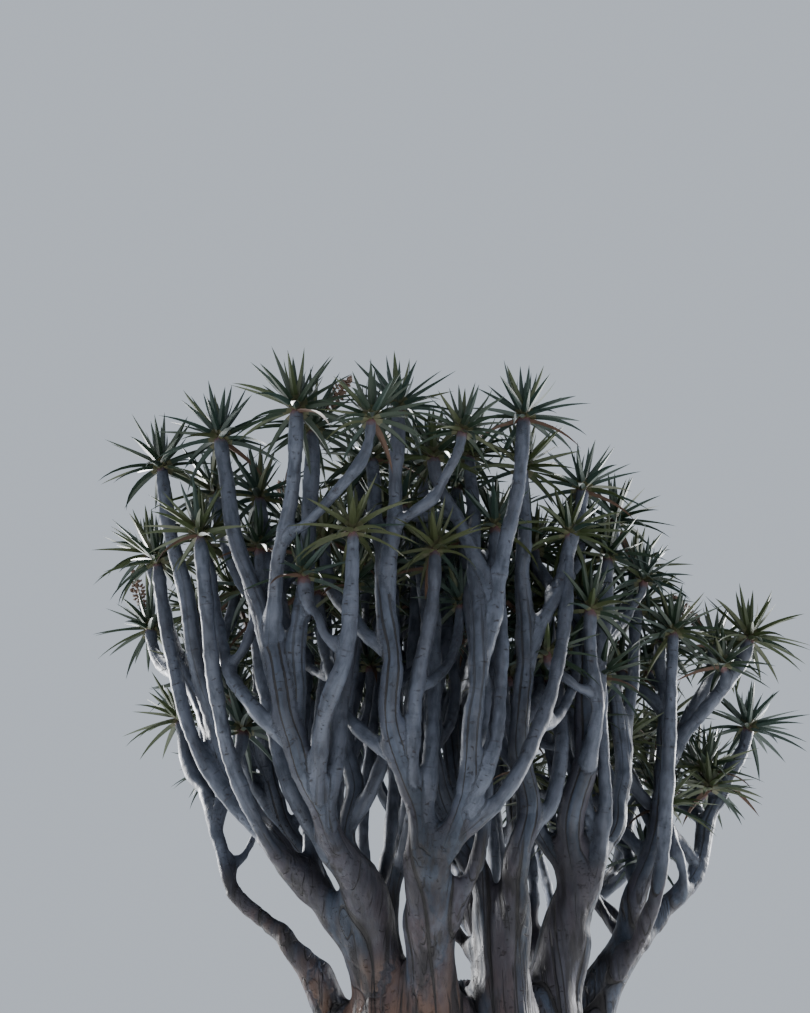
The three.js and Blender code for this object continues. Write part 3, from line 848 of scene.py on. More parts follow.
class Shader:
    # a material's nodes, added one at a time
    def __init__(self, name, roughness, specular=0.4):
        self.material = bpy.data.materials.new(name)
        self.material.use_nodes = True
        self.tree = self.material.node_tree
        self.surface = self.tree.nodes["Principled BSDF"]
        self.surface.inputs["Roughness"].default_value = roughness
        self.surface.inputs["Specular IOR Level"].default_value = specular

    def add(self, kind, **settings):
        node = self.tree.nodes.new("ShaderNode" + kind)
        for key, value in settings.items():
            setattr(node, key, value)
        return node

    def join(self, source, target):
        self.tree.links.new(source, target)

    def fill(self, socket, value):
        if isinstance(value, bpy.types.NodeSocket):
            self.join(value, socket)
        else:
            socket.default_value = value

    def attribute(self, name, output="Fac"):
        return self.add("Attribute", attribute_name=name).outputs[output]

    def stretched(self, vector, scale):
        node = self.add("Mapping")
        self.join(vector, node.inputs["Vector"])
        node.inputs["Scale"].default_value = scale
        return node.outputs["Vector"]

    def noise(self, vector, scale, detail, roughness=0.5, distortion=0.0, stretch=None):
        if stretch:
            vector = self.stretched(vector, stretch)
        node = self.add("TexNoise")
        self.join(vector, node.inputs["Vector"])
        node.inputs["Scale"].default_value = scale
        node.inputs["Detail"].default_value = detail
        node.inputs["Roughness"].default_value = roughness
        node.inputs["Distortion"].default_value = distortion
        return node.outputs["Fac"]

    def cells(self, vector, scale, feature="F1"):
        node = self.add("TexVoronoi", feature=feature)
        self.join(vector, node.inputs["Vector"])
        node.inputs["Scale"].default_value = scale
        return node

    def step(self, value, low, high, toLow=0.0, toHigh=1.0):
        node = self.add("MapRange", interpolation_type="SMOOTHSTEP")
        self.fill(node.inputs["Value"], value)
        node.inputs["From Min"].default_value = low
        node.inputs["From Max"].default_value = high
        node.inputs["To Min"].default_value = toLow
        node.inputs["To Max"].default_value = toHigh
        return node.outputs["Result"]

    def math(self, operation, first, second=0.0):
        node = self.add("Math", operation=operation)
        self.fill(node.inputs[0], first)
        self.fill(node.inputs[1], second)
        return node.outputs[0]

    def times(self, first, second):
        return self.math("MULTIPLY", first, second)

    def slide(self, share, first, second):
        node = self.add("Mix", data_type="FLOAT")
        self.fill(node.inputs[0], share)
        self.fill(node.inputs[2], first)
        self.fill(node.inputs[3], second)
        return node.outputs[0]

    def blend(self, share, first, second):
        node = self.add("Mix", data_type="RGBA")
        self.fill(node.inputs["Factor"], share)
        self.fill(node.inputs[6], first if isinstance(first, bpy.types.NodeSocket) else (*first, 1))
        self.fill(node.inputs[7], second if isinstance(second, bpy.types.NodeSocket) else (*second, 1))
        return node.outputs[2]

    def bump(self, height, distance, strength, below=None):
        node = self.add("Bump")
        self.join(height, node.inputs["Height"])
        node.inputs["Distance"].default_value = distance
        node.inputs["Strength"].default_value = strength
        if below is not None:
            self.join(below, node.inputs["Normal"])
        return node.outputs["Normal"]

    def finish(self, color, roughness, normal):
        self.join(color, self.surface.inputs["Base Color"])
        self.join(roughness, self.surface.inputs["Roughness"])
        self.join(normal, self.surface.inputs["Normal"])
        return self.material


# The bark's grey and lilac tones are its own, made darker and bluer than they are: painted shade, the
# skylit shade of a backlit tree.
barkColors = {
    "young": (0.078, 0.090, 0.122),
    "pale": (0.036, 0.050, 0.080),
    "lilac": (0.012, 0.018, 0.030),
    "brown": (0.019, 0.017, 0.022),
    "warm": (0.042, 0.029, 0.034),
    "rose": (0.090, 0.034, 0.030),
    "crack": (0.006, 0.005, 0.006),
    "spot": (0.016, 0.013, 0.018),
    "ochre": (0.098, 0.047, 0.024),
    "gold": (0.120, 0.070, 0.038),
    "rust": (0.062, 0.027, 0.016),
    "fissure": (0.007, 0.006, 0.008),
}
barkNoises = {
    "tone": {"scale": 2.3, "detail": 4},
    "mottled": {"scale": 26, "detail": 5, "roughness": 0.6, "stretch": (1, 1, 0.35)},
    "streaks": {"scale": 22, "detail": 4, "stretch": (1, 1, 0.1)},
    "scars": {"scale": 38, "detail": 3, "roughness": 0.65, "distortion": 0.8, "stretch": (1, 1, 1.9)},
    "scarce": {"scale": 7, "detail": 2},
    "rings": {"scale": 46, "detail": 4, "roughness": 0.7, "distortion": 0.4, "stretch": (0.14, 0.14, 1)},
    "between": {"scale": 15, "detail": 0.6, "roughness": 0.4, "stretch": (1, 1, 0.03)},
    "broken": {"scale": 12, "detail": 2, "stretch": (1, 1, 0.4)},
    "ridges": {"scale": 19, "detail": 5, "roughness": 0.6, "stretch": (1, 1, 0.1)},
    "patch": {"scale": 3.2, "detail": 4},
    "rusty": {"scale": 24, "detail": 6, "roughness": 0.65, "stretch": (1, 1, 0.3)},
    "grain": {"scale": 110, "detail": 4, "roughness": 0.6, "stretch": (1, 1, 0.3)},
}
# Where each mark of the bark begins and where it is full, and the least and the most of it if not 0 and 1.
# Those with Age in their name read the bark's age, which is nought on thin limbs and one on the trunk.
barkSteps = {
    "tone": (0.35, 0.65), "youngAge": (0.3, 0.04, 0, 0.75), "mottled": (0.38, 0.66, 0, 0.7),
    "streaks": (0.46, 0.62), "streaksAge": (0.1, 0.6, 0.3, 0.75),
    "stripStreaks": (0.6, 0.44, 0.1, 0.5), "stripAge": (0.12, 0.4),
    "scars": (0.61, 0.67), "scarce": (0.42, 0.56), "rings": (0.6, 0.7), "ringsAge": (0.8, 0.1, 0, 0.6),
    "longAge": (0.06, 0.2), "broken": (0.46, 0.54), "fineAge": (0.22, 0.6, 0, 0.85),
    "ridges": (0.5, 0.38, 0, 0.85), "litSidePlates": (0.66, 0.84, 0.08, 1), "brownPlates": (0.5, 0.8),
    "rusty": (0.42, 0.62, 0, 0.85), "plateEdge": (0.03, 0.004, 0, 0.8), "platesAge": (0.3, 0.6),
    "collar": (0.15, 0.7, 0, 0.8), "crease": (0.35, 1, 0, 0.75), "rough": (0.3, 0.7, 0.5, 0.78),
    "bumpStreaksAge": (0.1, 0.6), "bumpRingsAge": (0.8, 0.1), "bumpPlateEdge": (0.09, 0.0),
}
barkShares = {"scar": 0.85, "crack": 0.95, "plateCrack": 0.9}
# Depth in metres and strength of what is only in the material's relief.
barkBumps = {"grain": (0.0014, 0.8), "ridges": (0.012, 0.9), "streaks": (0.006, 0.8), "rings": (0.004, 0.7),
             "crack": (-0.006, 1), "plateEdge": (-0.009, 1)}
plateLooks = {"low": 1.8, "high": 2.42, "ragged": 0.9, "litSideLean": 0.42, "stretch": (1, 1, 0.4),
              "warpScale": 8, "warpDetail": 4, "warp": 0.14, "cells": 7}


def lineAt(bark, field, width, soft):
    # a thin line where a field is nought
    return bark.step(bark.math("ABSOLUTE", field), width + soft, width)


# Widths of the lines: along the splits in metres, and those of the fine ones in steps of their noise.
barkLines = {"splitWidth": 0.0044, "splitSoft": 0.6, "strip": 0.004, "furrow": (0.017, 0.004, 0, 0.95),
             "fine": 0.006, "fineSoft": 0.012}


def barkPattern(bark, place, split):
    # smooth grey, made darker and bluer than the bark's own as painted shade, with scars and rings above,
    # and long splits below
    colors, noises, steps, lines = barkColors, barkNoises, barkSteps, barkLines
    age = bark.attribute("barkAge")
    body = bark.add("TexCoord").outputs["Object"]
    tone = bark.step(bark.noise(body, **noises["tone"]), *steps["tone"])
    color = bark.blend(tone, colors["pale"], colors["lilac"])
    color = bark.blend(bark.step(age, *steps["youngAge"]), color, colors["young"])
    mottled = bark.noise(place, **noises["mottled"])
    color = bark.blend(bark.step(mottled, *steps["mottled"]), color, colors["lilac"])
    streaks = bark.noise(place, **noises["streaks"])
    streaky = bark.times(bark.step(streaks, *steps["streaks"]), bark.step(age, *steps["streaksAge"]))
    color = bark.blend(streaky, color, colors["brown"])
    strip = bark.step(bark.attribute(split), -lines["strip"], lines["strip"])
    strip = bark.times(strip, bark.step(streaks, *steps["stripStreaks"]))
    color = bark.blend(bark.times(strip, bark.step(age, *steps["stripAge"])), color, colors["warm"])

    # small dark scars, wider than high, and thin rings
    scars = bark.noise(place, **noises["scars"])
    scarce = bark.step(bark.noise(body, **noises["scarce"]), *steps["scarce"])
    scar = bark.times(bark.step(scars, *steps["scars"]), scarce)
    color = bark.blend(bark.times(scar, barkShares["scar"]), color, colors["spot"])
    rings = bark.noise(place, **noises["rings"])
    ring = bark.times(bark.step(rings, *steps["rings"]), bark.step(age, *steps["ringsAge"]))
    color = bark.blend(ring, color, colors["spot"])

    # long splits that open as the limb ages, with finer ones between them
    width = lines["splitWidth"]
    long = lineAt(bark, bark.attribute(split), width, lines["splitSoft"] * width)
    long = bark.times(long, bark.step(age, *steps["longAge"]))
    between = bark.math("SUBTRACT", bark.noise(place, **noises["between"]), 0.5)
    broken = bark.step(bark.noise(place, **noises["broken"]), *steps["broken"])
    fine = lineAt(bark, between, lines["fine"], lines["fineSoft"])
    fine = bark.times(fine, bark.step(age, *steps["fineAge"]))
    fine = bark.times(fine, broken)
    return {"color": color, "mottled": mottled, "streaks": streaks, "scar": scar, "rings": rings,
            "crack": bark.math("MAXIMUM", long, fine)}


def furrowsOf(bark, body, low):
    # dark furrows along the trunk's splits, and fainter ones where no split runs
    furrow = bark.math("ABSOLUTE", bark.attribute("splitLow"))
    furrow = bark.step(furrow, *barkLines["furrow"])
    ridges = bark.noise(body, **barkNoises["ridges"])
    furrow = bark.math("MAXIMUM", furrow, bark.step(ridges, *barkSteps["ridges"]))
    return bark.times(furrow, low), ridges


def platesOf(bark, body):
    # peeling plates, the bark's own, gathered on the front left of the trunk partly as painted light, the
    # lit side golden and the shaded side grey: where they are, their color and edges
    looks, colors, steps = plateLooks, barkColors, barkSteps
    parts = bark.add("SeparateXYZ")
    bark.join(body, parts.inputs[0])
    patch = bark.noise(body, **barkNoises["patch"])
    ragged = bark.math("ADD", parts.outputs["Z"], bark.times(patch, looks["ragged"]))
    middle = looks["ragged"] / 2
    plated = bark.step(ragged, looks["high"] + middle, looks["low"] + middle)
    # the lean of the plates towards the front left is painted light: the lit side golden, the shaded side
    # grey
    leftward = bark.math("SUBTRACT", bark.times(parts.outputs["X"], -1.0), parts.outputs["Y"])
    litSidePlates = bark.math("ADD", bark.times(leftward, looks["litSideLean"]), patch)
    plated = bark.times(plated, bark.step(litSidePlates, *steps["litSidePlates"]))
    wavy = bark.add("VectorMath", operation="ADD")
    bark.join(bark.stretched(body, looks["stretch"]), wavy.inputs[0])
    shift = bark.add("VectorMath", operation="SCALE")
    warp = bark.add("TexNoise")
    bark.join(body, warp.inputs["Vector"])
    warp.inputs["Scale"].default_value = looks["warpScale"]
    warp.inputs["Detail"].default_value = looks["warpDetail"]
    bark.join(warp.outputs["Color"], shift.inputs[0])
    shift.inputs["Scale"].default_value = looks["warp"]
    bark.join(shift.outputs[0], wavy.inputs[1])
    tone = bark.cells(wavy.outputs[0], looks["cells"])
    edge = bark.cells(wavy.outputs[0], looks["cells"], "DISTANCE_TO_EDGE").outputs["Distance"]
    toneValue = bark.add("SeparateColor")
    bark.join(tone.outputs["Color"], toneValue.inputs[0])
    color = bark.blend(toneValue.outputs[0], colors["ochre"], colors["gold"])
    color = bark.blend(bark.step(toneValue.outputs[1], *steps["brownPlates"]), color, colors["brown"])
    rusty = bark.noise(body, **barkNoises["rusty"])
    color = bark.blend(bark.step(rusty, *steps["rusty"]), color, colors["rust"])
    color = bark.blend(bark.step(edge, *steps["plateEdge"]), color, colors["fissure"])
    return plated, color, edge


def barkMaterial(name, upright):
    # the pattern follows the limbs; that of the trunk runs upright below and passes into it above
    bark = Shader(name, 0.62)
    colors, steps = barkColors, barkSteps
    place = bark.attribute("barkPlace", "Vector")
    age = bark.attribute("barkAge")
    body = bark.add("TexCoord").outputs["Object"]
    pattern = barkPattern(bark, place, "split")
    if upright:
        below = barkPattern(bark, body, "splitLow")
        low = bark.attribute("low")
        pattern = {key: (bark.blend if key == "color" else bark.slide)(low, pattern[key], below[key])
                   for key in pattern}
    crack = pattern["crack"]
    color = pattern["color"]
    plated, plateColor, edge = platesOf(bark, body)
    if upright:
        furrow, ridges = furrowsOf(bark, body, low)
        color = bark.blend(furrow, color, colors["fissure"])
        plateColor = bark.blend(furrow, plateColor, colors["fissure"])
    color = bark.blend(bark.times(crack, barkShares["crack"]), color, colors["crack"])
    plateColor = bark.blend(bark.times(crack, barkShares["plateCrack"]), plateColor, colors["crack"])
    color = bark.blend(bark.times(plated, bark.step(age, *steps["platesAge"])), color, plateColor)

    color = bark.blend(bark.step(bark.attribute("collar"), *steps["collar"]), color, colors["rose"])
    # the creases where two limbs part take the crack colour: a dark bark ridge line, deepened with painted
    # shade in the crotch
    color = bark.blend(bark.step(bark.attribute("crease"), *steps["crease"]), color, colors["crack"])

    rough = bark.step(pattern["mottled"], *steps["rough"])
    heights = {"grain": bark.noise(place, **barkNoises["grain"])}
    if upright:
        heights["ridges"] = bark.times(ridges, low)
    heights["streaks"] = bark.times(pattern["streaks"], bark.step(age, *steps["bumpStreaksAge"]))
    heights["rings"] = bark.times(pattern["rings"], bark.step(age, *steps["bumpRingsAge"]))
    heights["crack"] = bark.math("MAXIMUM", crack, pattern["scar"])
    heights["plateEdge"] = bark.times(bark.step(edge, *steps["bumpPlateEdge"]), plated)
    normal = None
    for key, height in heights.items():
        normal = bark.bump(height, *barkBumps[key], normal)
    return bark.finish(color, rough, normal)


limbBarkMaterial = barkMaterial("limb_bark", False)
trunkBarkMaterial = barkMaterial("trunk_bark", True)


def smoothShade(piece):
    choose(piece)
    bpy.ops.object.shade_smooth()


def workOnAll(piece, work):
    # an operator of edit mode on the whole of a piece
    choose(piece)
    bpy.ops.object.mode_set(mode="EDIT")
    bpy.ops.mesh.select_all(action="SELECT")
    work()
    bpy.ops.object.mode_set(mode="OBJECT")


def place(piece, slot, materials, replaced):
    for material in materials:
        piece.data.materials.append(material)
    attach(piece, "root")
    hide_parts(*replaced)


def makeLimbs():
    allTubes = []
    for bough in boughs:
        own = [mass for mass in masses if mass["bough"] is bough]
        tubes = tubesOfBough(bough, own)
        allTubes.extend(tubes)
        bars = [bar for tube in tubes if (bar := barOf(tube, True))]
        piece = roundBars(f"limb_{bough['name']}", bars)
        fuse(piece, limbSizes["voxel"], limbSizes["soften"])
        roundCrotches(piece, tubes, limbSizes["crotchWidth"], limbSizes["crotchSoften"])
        barkOn(piece, tubes)
        smoothShade(piece)
        covered = [f"bough_{bough['name']}"] + [mass["name"] for mass in own]
        place(piece, "limb_bark", [limbBarkMaterial], covered)
    return allTubes


limbTubes = makeLimbs()
print("limbs made:", len(limbTubes), "bars")

# The trunk: a fluted column drawn up ring by ring, fused with its lobes and the feet of the boughs.
columnShape = {"sides": 48, "rings": 14, "below": 0.06, "crowding": 1.25, "dome": ((0.6, 0.75), (0.4, 0.4)),
               "salt": 600}
trunkShape = {"voxel": 0.0157, "soften": 5, "crotchWidth": 0.12, "crotchSoften": 70, "narrowFrom": 0.5,
              "narrowTo": 0.95, "lastFrom": 0.8, "lastSwell": 1.26, "footLength": 0.45, "footSink": 0.3,
              "footPower": 1.5, "salt": 610}


def trunkRadius(t):
    sizes = trunkSizes
    flare = sizes["footRadius"] - sizes["waistRadius"]
    flare = flare * np.exp(-t * sizes["topRise"] / sizes["flareRise"])
    swell = (sizes["topRadius"] - sizes["waistRadius"]) * t ** sizes["topSpread"]
    return sizes["waistRadius"] + flare + swell


def trunkColumn():
    sizes = trunkSizes
    foot = trunkRadius(0) * mm
    bpy.ops.object.select_all(action="DESELECT")
    bpy.ops.mesh.primitive_circle_add(vertices=columnShape["sides"], radius=foot, fill_type="NGON",
                                      location=(0, 0, -columnShape["below"]))
    column = bpy.context.view_layer.objects.active
    bpy.ops.object.transform_apply(location=True)
    bpy.ops.object.mode_set(mode="EDIT")
    bpy.ops.mesh.select_all(action="SELECT")
    rise, radius, sway = -columnShape["below"], foot, 0.0
    for ring in range(columnShape["rings"] + 1):
        t = (ring / columnShape["rings"]) ** columnShape["crowding"]
        nextRise = t * sizes["topRise"] * mm
        nextSway = -sizes["lean"] * mm * t
        nextRadius = trunkRadius(t) * mm
        bpy.ops.mesh.extrude_region_move(
            TRANSFORM_OT_translate={"value": (0, nextSway - sway, nextRise - rise)})
        bpy.ops.transform.resize(value=(nextRadius / radius, nextRadius / radius, 1),
                                 center_override=(0, nextSway, nextRise))
        rise, radius, sway = nextRise, nextRadius, nextSway
    dome = sizes["topDome"] * mm
    for share, narrow in columnShape["dome"]:
        bpy.ops.mesh.extrude_region_move(TRANSFORM_OT_translate={"value": (0, 0, dome * share)})
        bpy.ops.transform.resize(value=(narrow, narrow, 1), center_override=(0, sway, rise))
    bpy.ops.object.mode_set(mode="OBJECT")
    points, normals = readPoints(column.data)
    t = np.clip(points[:, 2] / (sizes["topRise"] * mm), 0, 1)
    middle = -sizes["lean"] * mm * t
    turn = np.arctan2(points[:, 1] - middle, points[:, 0])
    flute = 1 + sizes["fluteDepth"] * (1 - sizes["fluteFade"] * t) * np.cos(
        sizes["flutes"] * turn + sizes["fluteTwist"] * t)
    points[:, 0] *= flute
    points[:, 1] = middle + (points[:, 1] - middle) * flute
    writePoints(column.data, points)
    return column


def trunkTubes():
    sizes = trunkSizes
    top = np.array([0, -sizes["lean"], sizes["topRise"]])
    column = {"course": Course(np.zeros(3), upright, top, upright), "length": sizes["topRise"] * mm,
              "salt": columnShape["salt"], "kinks": []}
    tubes = [Tube([(column, trunkRadius)])]
    for k, (name, lobe) in enumerate(lobes.items()):
        carried = [tipSizes[3] for bough, own, at, tipSizes, crown, spread in boughPlan
                   if own == name and at >= trunkShape["lastFrom"]]

        def lobeRadius(t, top=lobe[3], last=max(carried) * trunkShape["lastSwell"]):
            # its foot is sunk in the column, and its top drawn in to the width of the last boughs on it
            shape = trunkShape
            drawnIn = np.clip((t - shape["narrowFrom"]) / (shape["narrowTo"] - shape["narrowFrom"]), 0, 1)
            drawnIn = eased(drawnIn)
            sunk = np.clip(1 - t / shape["footLength"], 0, 1) ** shape["footPower"]
            plain = lobeRoot["radius"] + (top - lobeRoot["radius"]) * t
            return (plain + (last - plain) * drawnIn) * (1 - shape["footSink"] * sunk)

        limb = {"course": lobeCourse(lobe), "length": (lobe[2] - lobeRoot["rise"]) * mm,
                "salt": trunkShape["salt"] + k, "kinks": []}
        tubes.append(Tube([(limb, lobeRadius)], limbSizes["offsetStep"] * len(tubes)))
    return tubes


def makeTrunk():
    roots = trunkTubes()
    feet = [(tube, bar) for tube in limbTubes if (bar := barOf(tube, False))]
    tubes = roots + [tube for tube, bar in feet]
    column = trunkColumn()
    lobeBars = [(tube.centres, tube.radii) for tube in roots[1:]]
    bars = roundBars("trunk_bars", lobeBars + [bar for tube, bar in feet])
    choose(column)
    bars.select_set(True)
    bpy.ops.object.join()
    column.name = "trunk_bark"
    fuse(column, trunkShape["voxel"], trunkShape["soften"])
    roundCrotches(column, tubes, trunkShape["crotchWidth"], trunkShape["crotchSoften"])
    workOnAll(column, lambda: bpy.ops.mesh.bisect(
        plane_co=(0, 0, 0), plane_no=(0, 0, 1), use_fill=True, clear_inner=True))
    barkOn(column, tubes)
    smoothShade(column)
    covered = ["trunk"] + [f"bough_{bough['name']}" for bough in boughs]
    place(column, "trunk_bark", [trunkBarkMaterial], covered)
    print("trunk made:", len(column.data.polygons), "faces")


makeTrunk()

# The leaves: stiff, channelled above and keeled below. The lowest arch down and the youngest stand up.
leafShape = {
    "count": 36,
    "countRange": 7,
    "length": 0.335,
    "youngLength": 0.2,
    "youngFrom": 0.38,
    "halfWidth": 0.0192,
    "stations": 7,
    "lowest": -14,
    "highest": 80,
    "crowding": 1.3,
    "droop": -46,
    "rise": 12,
    "rootDepth": 0.07,
    "rootOut": 0.014,
    "keel": 0.5,
    "channel": 0.16,
    "clear": 0.008,
    "nearReach": 0.5,
    "ownReach": 0.12,
    "sunk": 0.02,
    "youngNarrow": 0.25,
    "bendRise": 1.5,
    "bendPower": 1.2,
    "rootWidth": 0.8,
    "widening": 1.6,
    "tipPower": 1.8,
    "tipBlunt": 0.9,
    "paleFaces": 4,
    "clearFrom": 3,
    "sharpEdge": 48,
}
# How much the leaves differ: spreads of climb, bend, turn and twist, and ranges of length and width.
leafStray = {"climb": 5, "bend": 9, "turn": 0.12, "twist": 0.25, "length": (0.86, 1.05),
             "width": (0.9, 1.12)}
# How the plain colors are dealt: the shares of the sprays, of leaves like their spray, and of dry leaves.
leafDeal = {"sprays": (0.46, 0.22, 0.26, 0.06), "alike": 0.72, "dryRank": 0.08, "dryShare": 0.22}
leafSeed = 11
goldenAngle = 137.508


def leafWidth(t):
    # widest near the root and tapering faster and faster to the tip
    sizes = leafShape
    opening = np.minimum(sizes["rootWidth"] + sizes["widening"] * t, 1)
    return opening * (1 - t ** sizes["tipPower"]) ** sizes["tipBlunt"]


class LeafHeap:
    # all the leaves of one piece as plain arrays
    def __init__(self):
        self.points = []
        self.faces = []
        self.kinds = []
        self.total = 0

    def add(self, points, faces, kinds):
        self.points.append(points)
        self.faces.extend(tuple(self.total + k for k in face) for face in faces)
        self.kinds.extend(kinds)
        self.total += len(points)

    def mesh(self, name):
        mesh = bpy.data.meshes.new(name)
        mesh.from_pydata(np.concatenate(self.points), [], self.faces)
        mesh.polygons.foreach_set("material_index", self.kinds)
        mesh.update()
        return mesh


def leafFaces(stations):
    faces = []
    for row in range(stations - 1):
        for k in range(4):
            a, b = 4 * row + k, 4 * row + (k + 1) % 4
            faces.append((a, b, b + 4, a + 4))
    last = 4 * (stations - 1)
    tip = 4 * stations
    faces += [(last + k, last + (k + 1) % 4, tip) for k in range(4)]
    faces.append((3, 2, 1, 0))
    return faces


leafPattern = leafFaces(leafShape["stations"])


def leafPoints(root, axis, turn, climb, bend, length, halfWidth, twist):
    sizes = leafShape
    east = unit(np.cross((0.0, 1.0, 0.0), axis))
    north = np.cross(axis, east)
    level = east * math.cos(turn) + north * math.sin(turn)
    t = np.linspace(0, 1, sizes["stations"] + 1)
    middle = (t[:-1] + t[1:]) / 2
    angles = climb + bend * middle ** sizes["bendPower"]
    moves = np.cos(angles)[:, None] * level + np.sin(angles)[:, None] * axis
    moves = np.cumsum(moves * length / sizes["stations"], axis=0)
    spine = root + np.concatenate([[np.zeros(3)], moves])
    angles = climb + bend * t ** sizes["bendPower"]
    over = np.cos(angles)[:, None] * axis - np.sin(angles)[:, None] * level
    side = np.cross(level, axis)
    width = halfWidth * leafWidth(t)
    sideways = side * np.cos(twist * t)[:, None] + over * np.sin(twist * t)[:, None]
    over = over * np.cos(twist * t)[:, None] - side * np.sin(twist * t)[:, None]
    rows = []
    for across, lift in ((-1, sizes["channel"]), (0, -sizes["keel"]), (1, sizes["channel"]), (0, 0.0)):
        rows.append(spine + sideways * (across * width)[:, None] + over * (lift * width)[:, None])
    body = np.stack(rows, axis=1)[:-1].reshape(-1, 3)
    return np.concatenate([body, spine[-1:]]), spine


leafColors = {
    "deep": (0.011, 0.023, 0.013),
    "olive": (0.026, 0.038, 0.013),
    "blue": (0.015, 0.030, 0.024),
    "yellow": (0.036, 0.045, 0.018),
    "root": (0.062, 0.064, 0.034),
    "dry": (0.060, 0.034, 0.023),
}
leafKinds = ["deep", "olive", "blue", "yellow", "root", "dry"]


# Roughness and shine, then the fine grain of the surface.
leafGloss = {"dry": 0.75, "fresh": 0.45, "specular": 0.35, "grain": (160, 3), "bump": (0.0006, 0.5)}


def leafMaterial(kind):
    # a plain base color, with the wax in its gloss and a faint grain in its relief
    leaf = Shader("leaf_" + kind, leafGloss["dry" if kind == "dry" else "fresh"], leafGloss["specular"])
    leaf.surface.inputs["Base Color"].default_value = (*leafColors[kind], 1)
    body = leaf.add("TexCoord").outputs["Object"]
    normal = leaf.bump(leaf.noise(body, *leafGloss["grain"]), *leafGloss["bump"])
    leaf.join(normal, leaf.surface.inputs["Normal"])
    return leaf.material


leafMaterials = [leafMaterial(kind) for kind in leafKinds]


def limbCloud():
    # the middles and radii of all limbs, which the leaves keep clear of
    centres = np.concatenate([tube.centres[::2] for tube in limbTubes])
    radii = np.concatenate([tube.radii[::2] for tube in limbTubes])
    return centres, radii


def leafPlan(rank, random):
    # climb and bend in degrees, then length and half width, from the lowest leaf at 0 to the youngest at 1
    sizes, stray = leafShape, leafStray
    high = rank ** sizes["crowding"]
    climb = sizes["lowest"] + (sizes["highest"] - sizes["lowest"]) * high + random.normal(0, stray["climb"])
    bend = sizes["droop"] + (sizes["rise"] - sizes["droop"]) * min(1, sizes["bendRise"] * high)
    bend += random.normal(0, stray["bend"])
    young = np.clip((rank - sizes["youngFrom"]) / (1 - sizes["youngFrom"]), 0, 1)
    length = sizes["length"] + (sizes["youngLength"] - sizes["length"]) * young
    length *= random.uniform(*stray["length"])
    halfWidth = sizes["halfWidth"] * (1 - sizes["youngNarrow"] * young) * random.uniform(*stray["width"])
    return climb, bend, length, halfWidth


def growRosette(heap, twig, cloud, random):
    sizes = leafShape
    course, scale = twig["course"], twig["head"]
    tip = course.at(1) * mm
    axis = course.heading(1)
    away = np.linalg.norm(cloud[0] - tip, axis=1)
    others = (away < sizes["nearReach"]) & ~(away < sizes["ownReach"])
    centres, radii = cloud[0][others], cloud[1][others]
    count = sizes["count"] + random.integers(0, sizes["countRange"] + 1)
    spray = random.choice(4, p=leafDeal["sprays"])
    dry, pale = leafKinds.index("dry"), leafKinds.index("root")
    kept = 0
    for k in range(count):
        rank = k / (count - 1)
        climb, bend, length, halfWidth = leafPlan(rank, random)
        turn = math.radians(twig["start"] + goldenAngle * k) + random.normal(0, leafStray["turn"])
        depth = sizes["rootDepth"] * (1 - rank) - sizes["sunk"]
        level = np.array([math.cos(turn), math.sin(turn), 0.0])
        root = tip - axis * depth * scale + level * sizes["rootOut"]
        points, spine = leafPoints(root, axis, turn, math.radians(climb), math.radians(bend),
                                   length * scale, halfWidth * math.sqrt(scale),
                                   random.normal(0, leafStray["twist"]))
        if len(centres):
            outer = spine[sizes["clearFrom"]:, None]
            gaps = np.linalg.norm(outer - centres[None], axis=2) - radii
            if gaps.min() < sizes["clear"]:
                continue
        kept += 1
        main = spray if random.random() < leafDeal["alike"] else random.choice(4)
        if rank < leafDeal["dryRank"] and random.random() < leafDeal["dryShare"]:
            main = dry
        kinds = [main] * len(leafPattern)
        if main != dry:
            kinds[:sizes["paleFaces"]] = [pale] * sizes["paleFaces"]
        heap.add(points, leafPattern, kinds)
    return kept


leafPieces = {"left": (135, 240), "front": (240, 330), "right": (330, 60), "back": (60, 135)}


def pieceOf(centre):
    heading = math.degrees(math.atan2(centre[1], centre[0])) % 360
    for name, (low, high) in leafPieces.items():
        if low <= heading < high or (low > high and (heading >= low or heading < high)):
            return name


def makeLeaves():
    random = np.random.default_rng(leafSeed)
    cloud = limbCloud()
    heaps = {name: LeafHeap() for name in leafPieces}
    grown = {name: [] for name in leafPieces}
    leaves = 0
    for mass in masses:
        for twig in mass["twigs"]:
            name = pieceOf(twig["course"].at(1))
            grown[name].append(mass["name"])
            leaves += growRosette(heaps[name], twig, cloud, random)
    for name, heap in heaps.items():
        piece = linkMesh("leaves_" + name, heap.mesh("leaves_" + name))
        choose(piece)
        bpy.ops.object.shade_smooth_by_angle(angle=math.radians(leafShape["sharpEdge"]))
        place(piece, "foliage", leafMaterials, sorted(set(grown[name])))
    print("leaves made:", leaves)


makeLeaves()

# Old flower stalks, each a bare stalk with a rough club of dry seed cases.
stalkShape = {
    "length": 0.4, "lean": 28, "radius": 0.009, "clubFoot": 0.34, "cases": 78, "caseLength": 0.030,
    "caseWidth": 0.0105, "spread": 0.036, "bend": 0.12, "color": (0.085, 0.055, 0.040), "stations": 7,
    "sides": 5, "taper": 0.45, "turnStray": 0.3, "out": (0.65, 1.1), "along": (0.1, 1.1),
    "caseOut": 0.8, "caseLengths": (0.8, 1.25), "caseWidths": (0.85, 1.25), "caseRoot": 0.6,
    "clubFull": (0.16, 0.8), "sharpEdge": 50, "roughness": 0.85, "specular": 0.2, "grain": (260, 4),
    "bump": (0.001, 0.8),
}
stalkSeed = 23


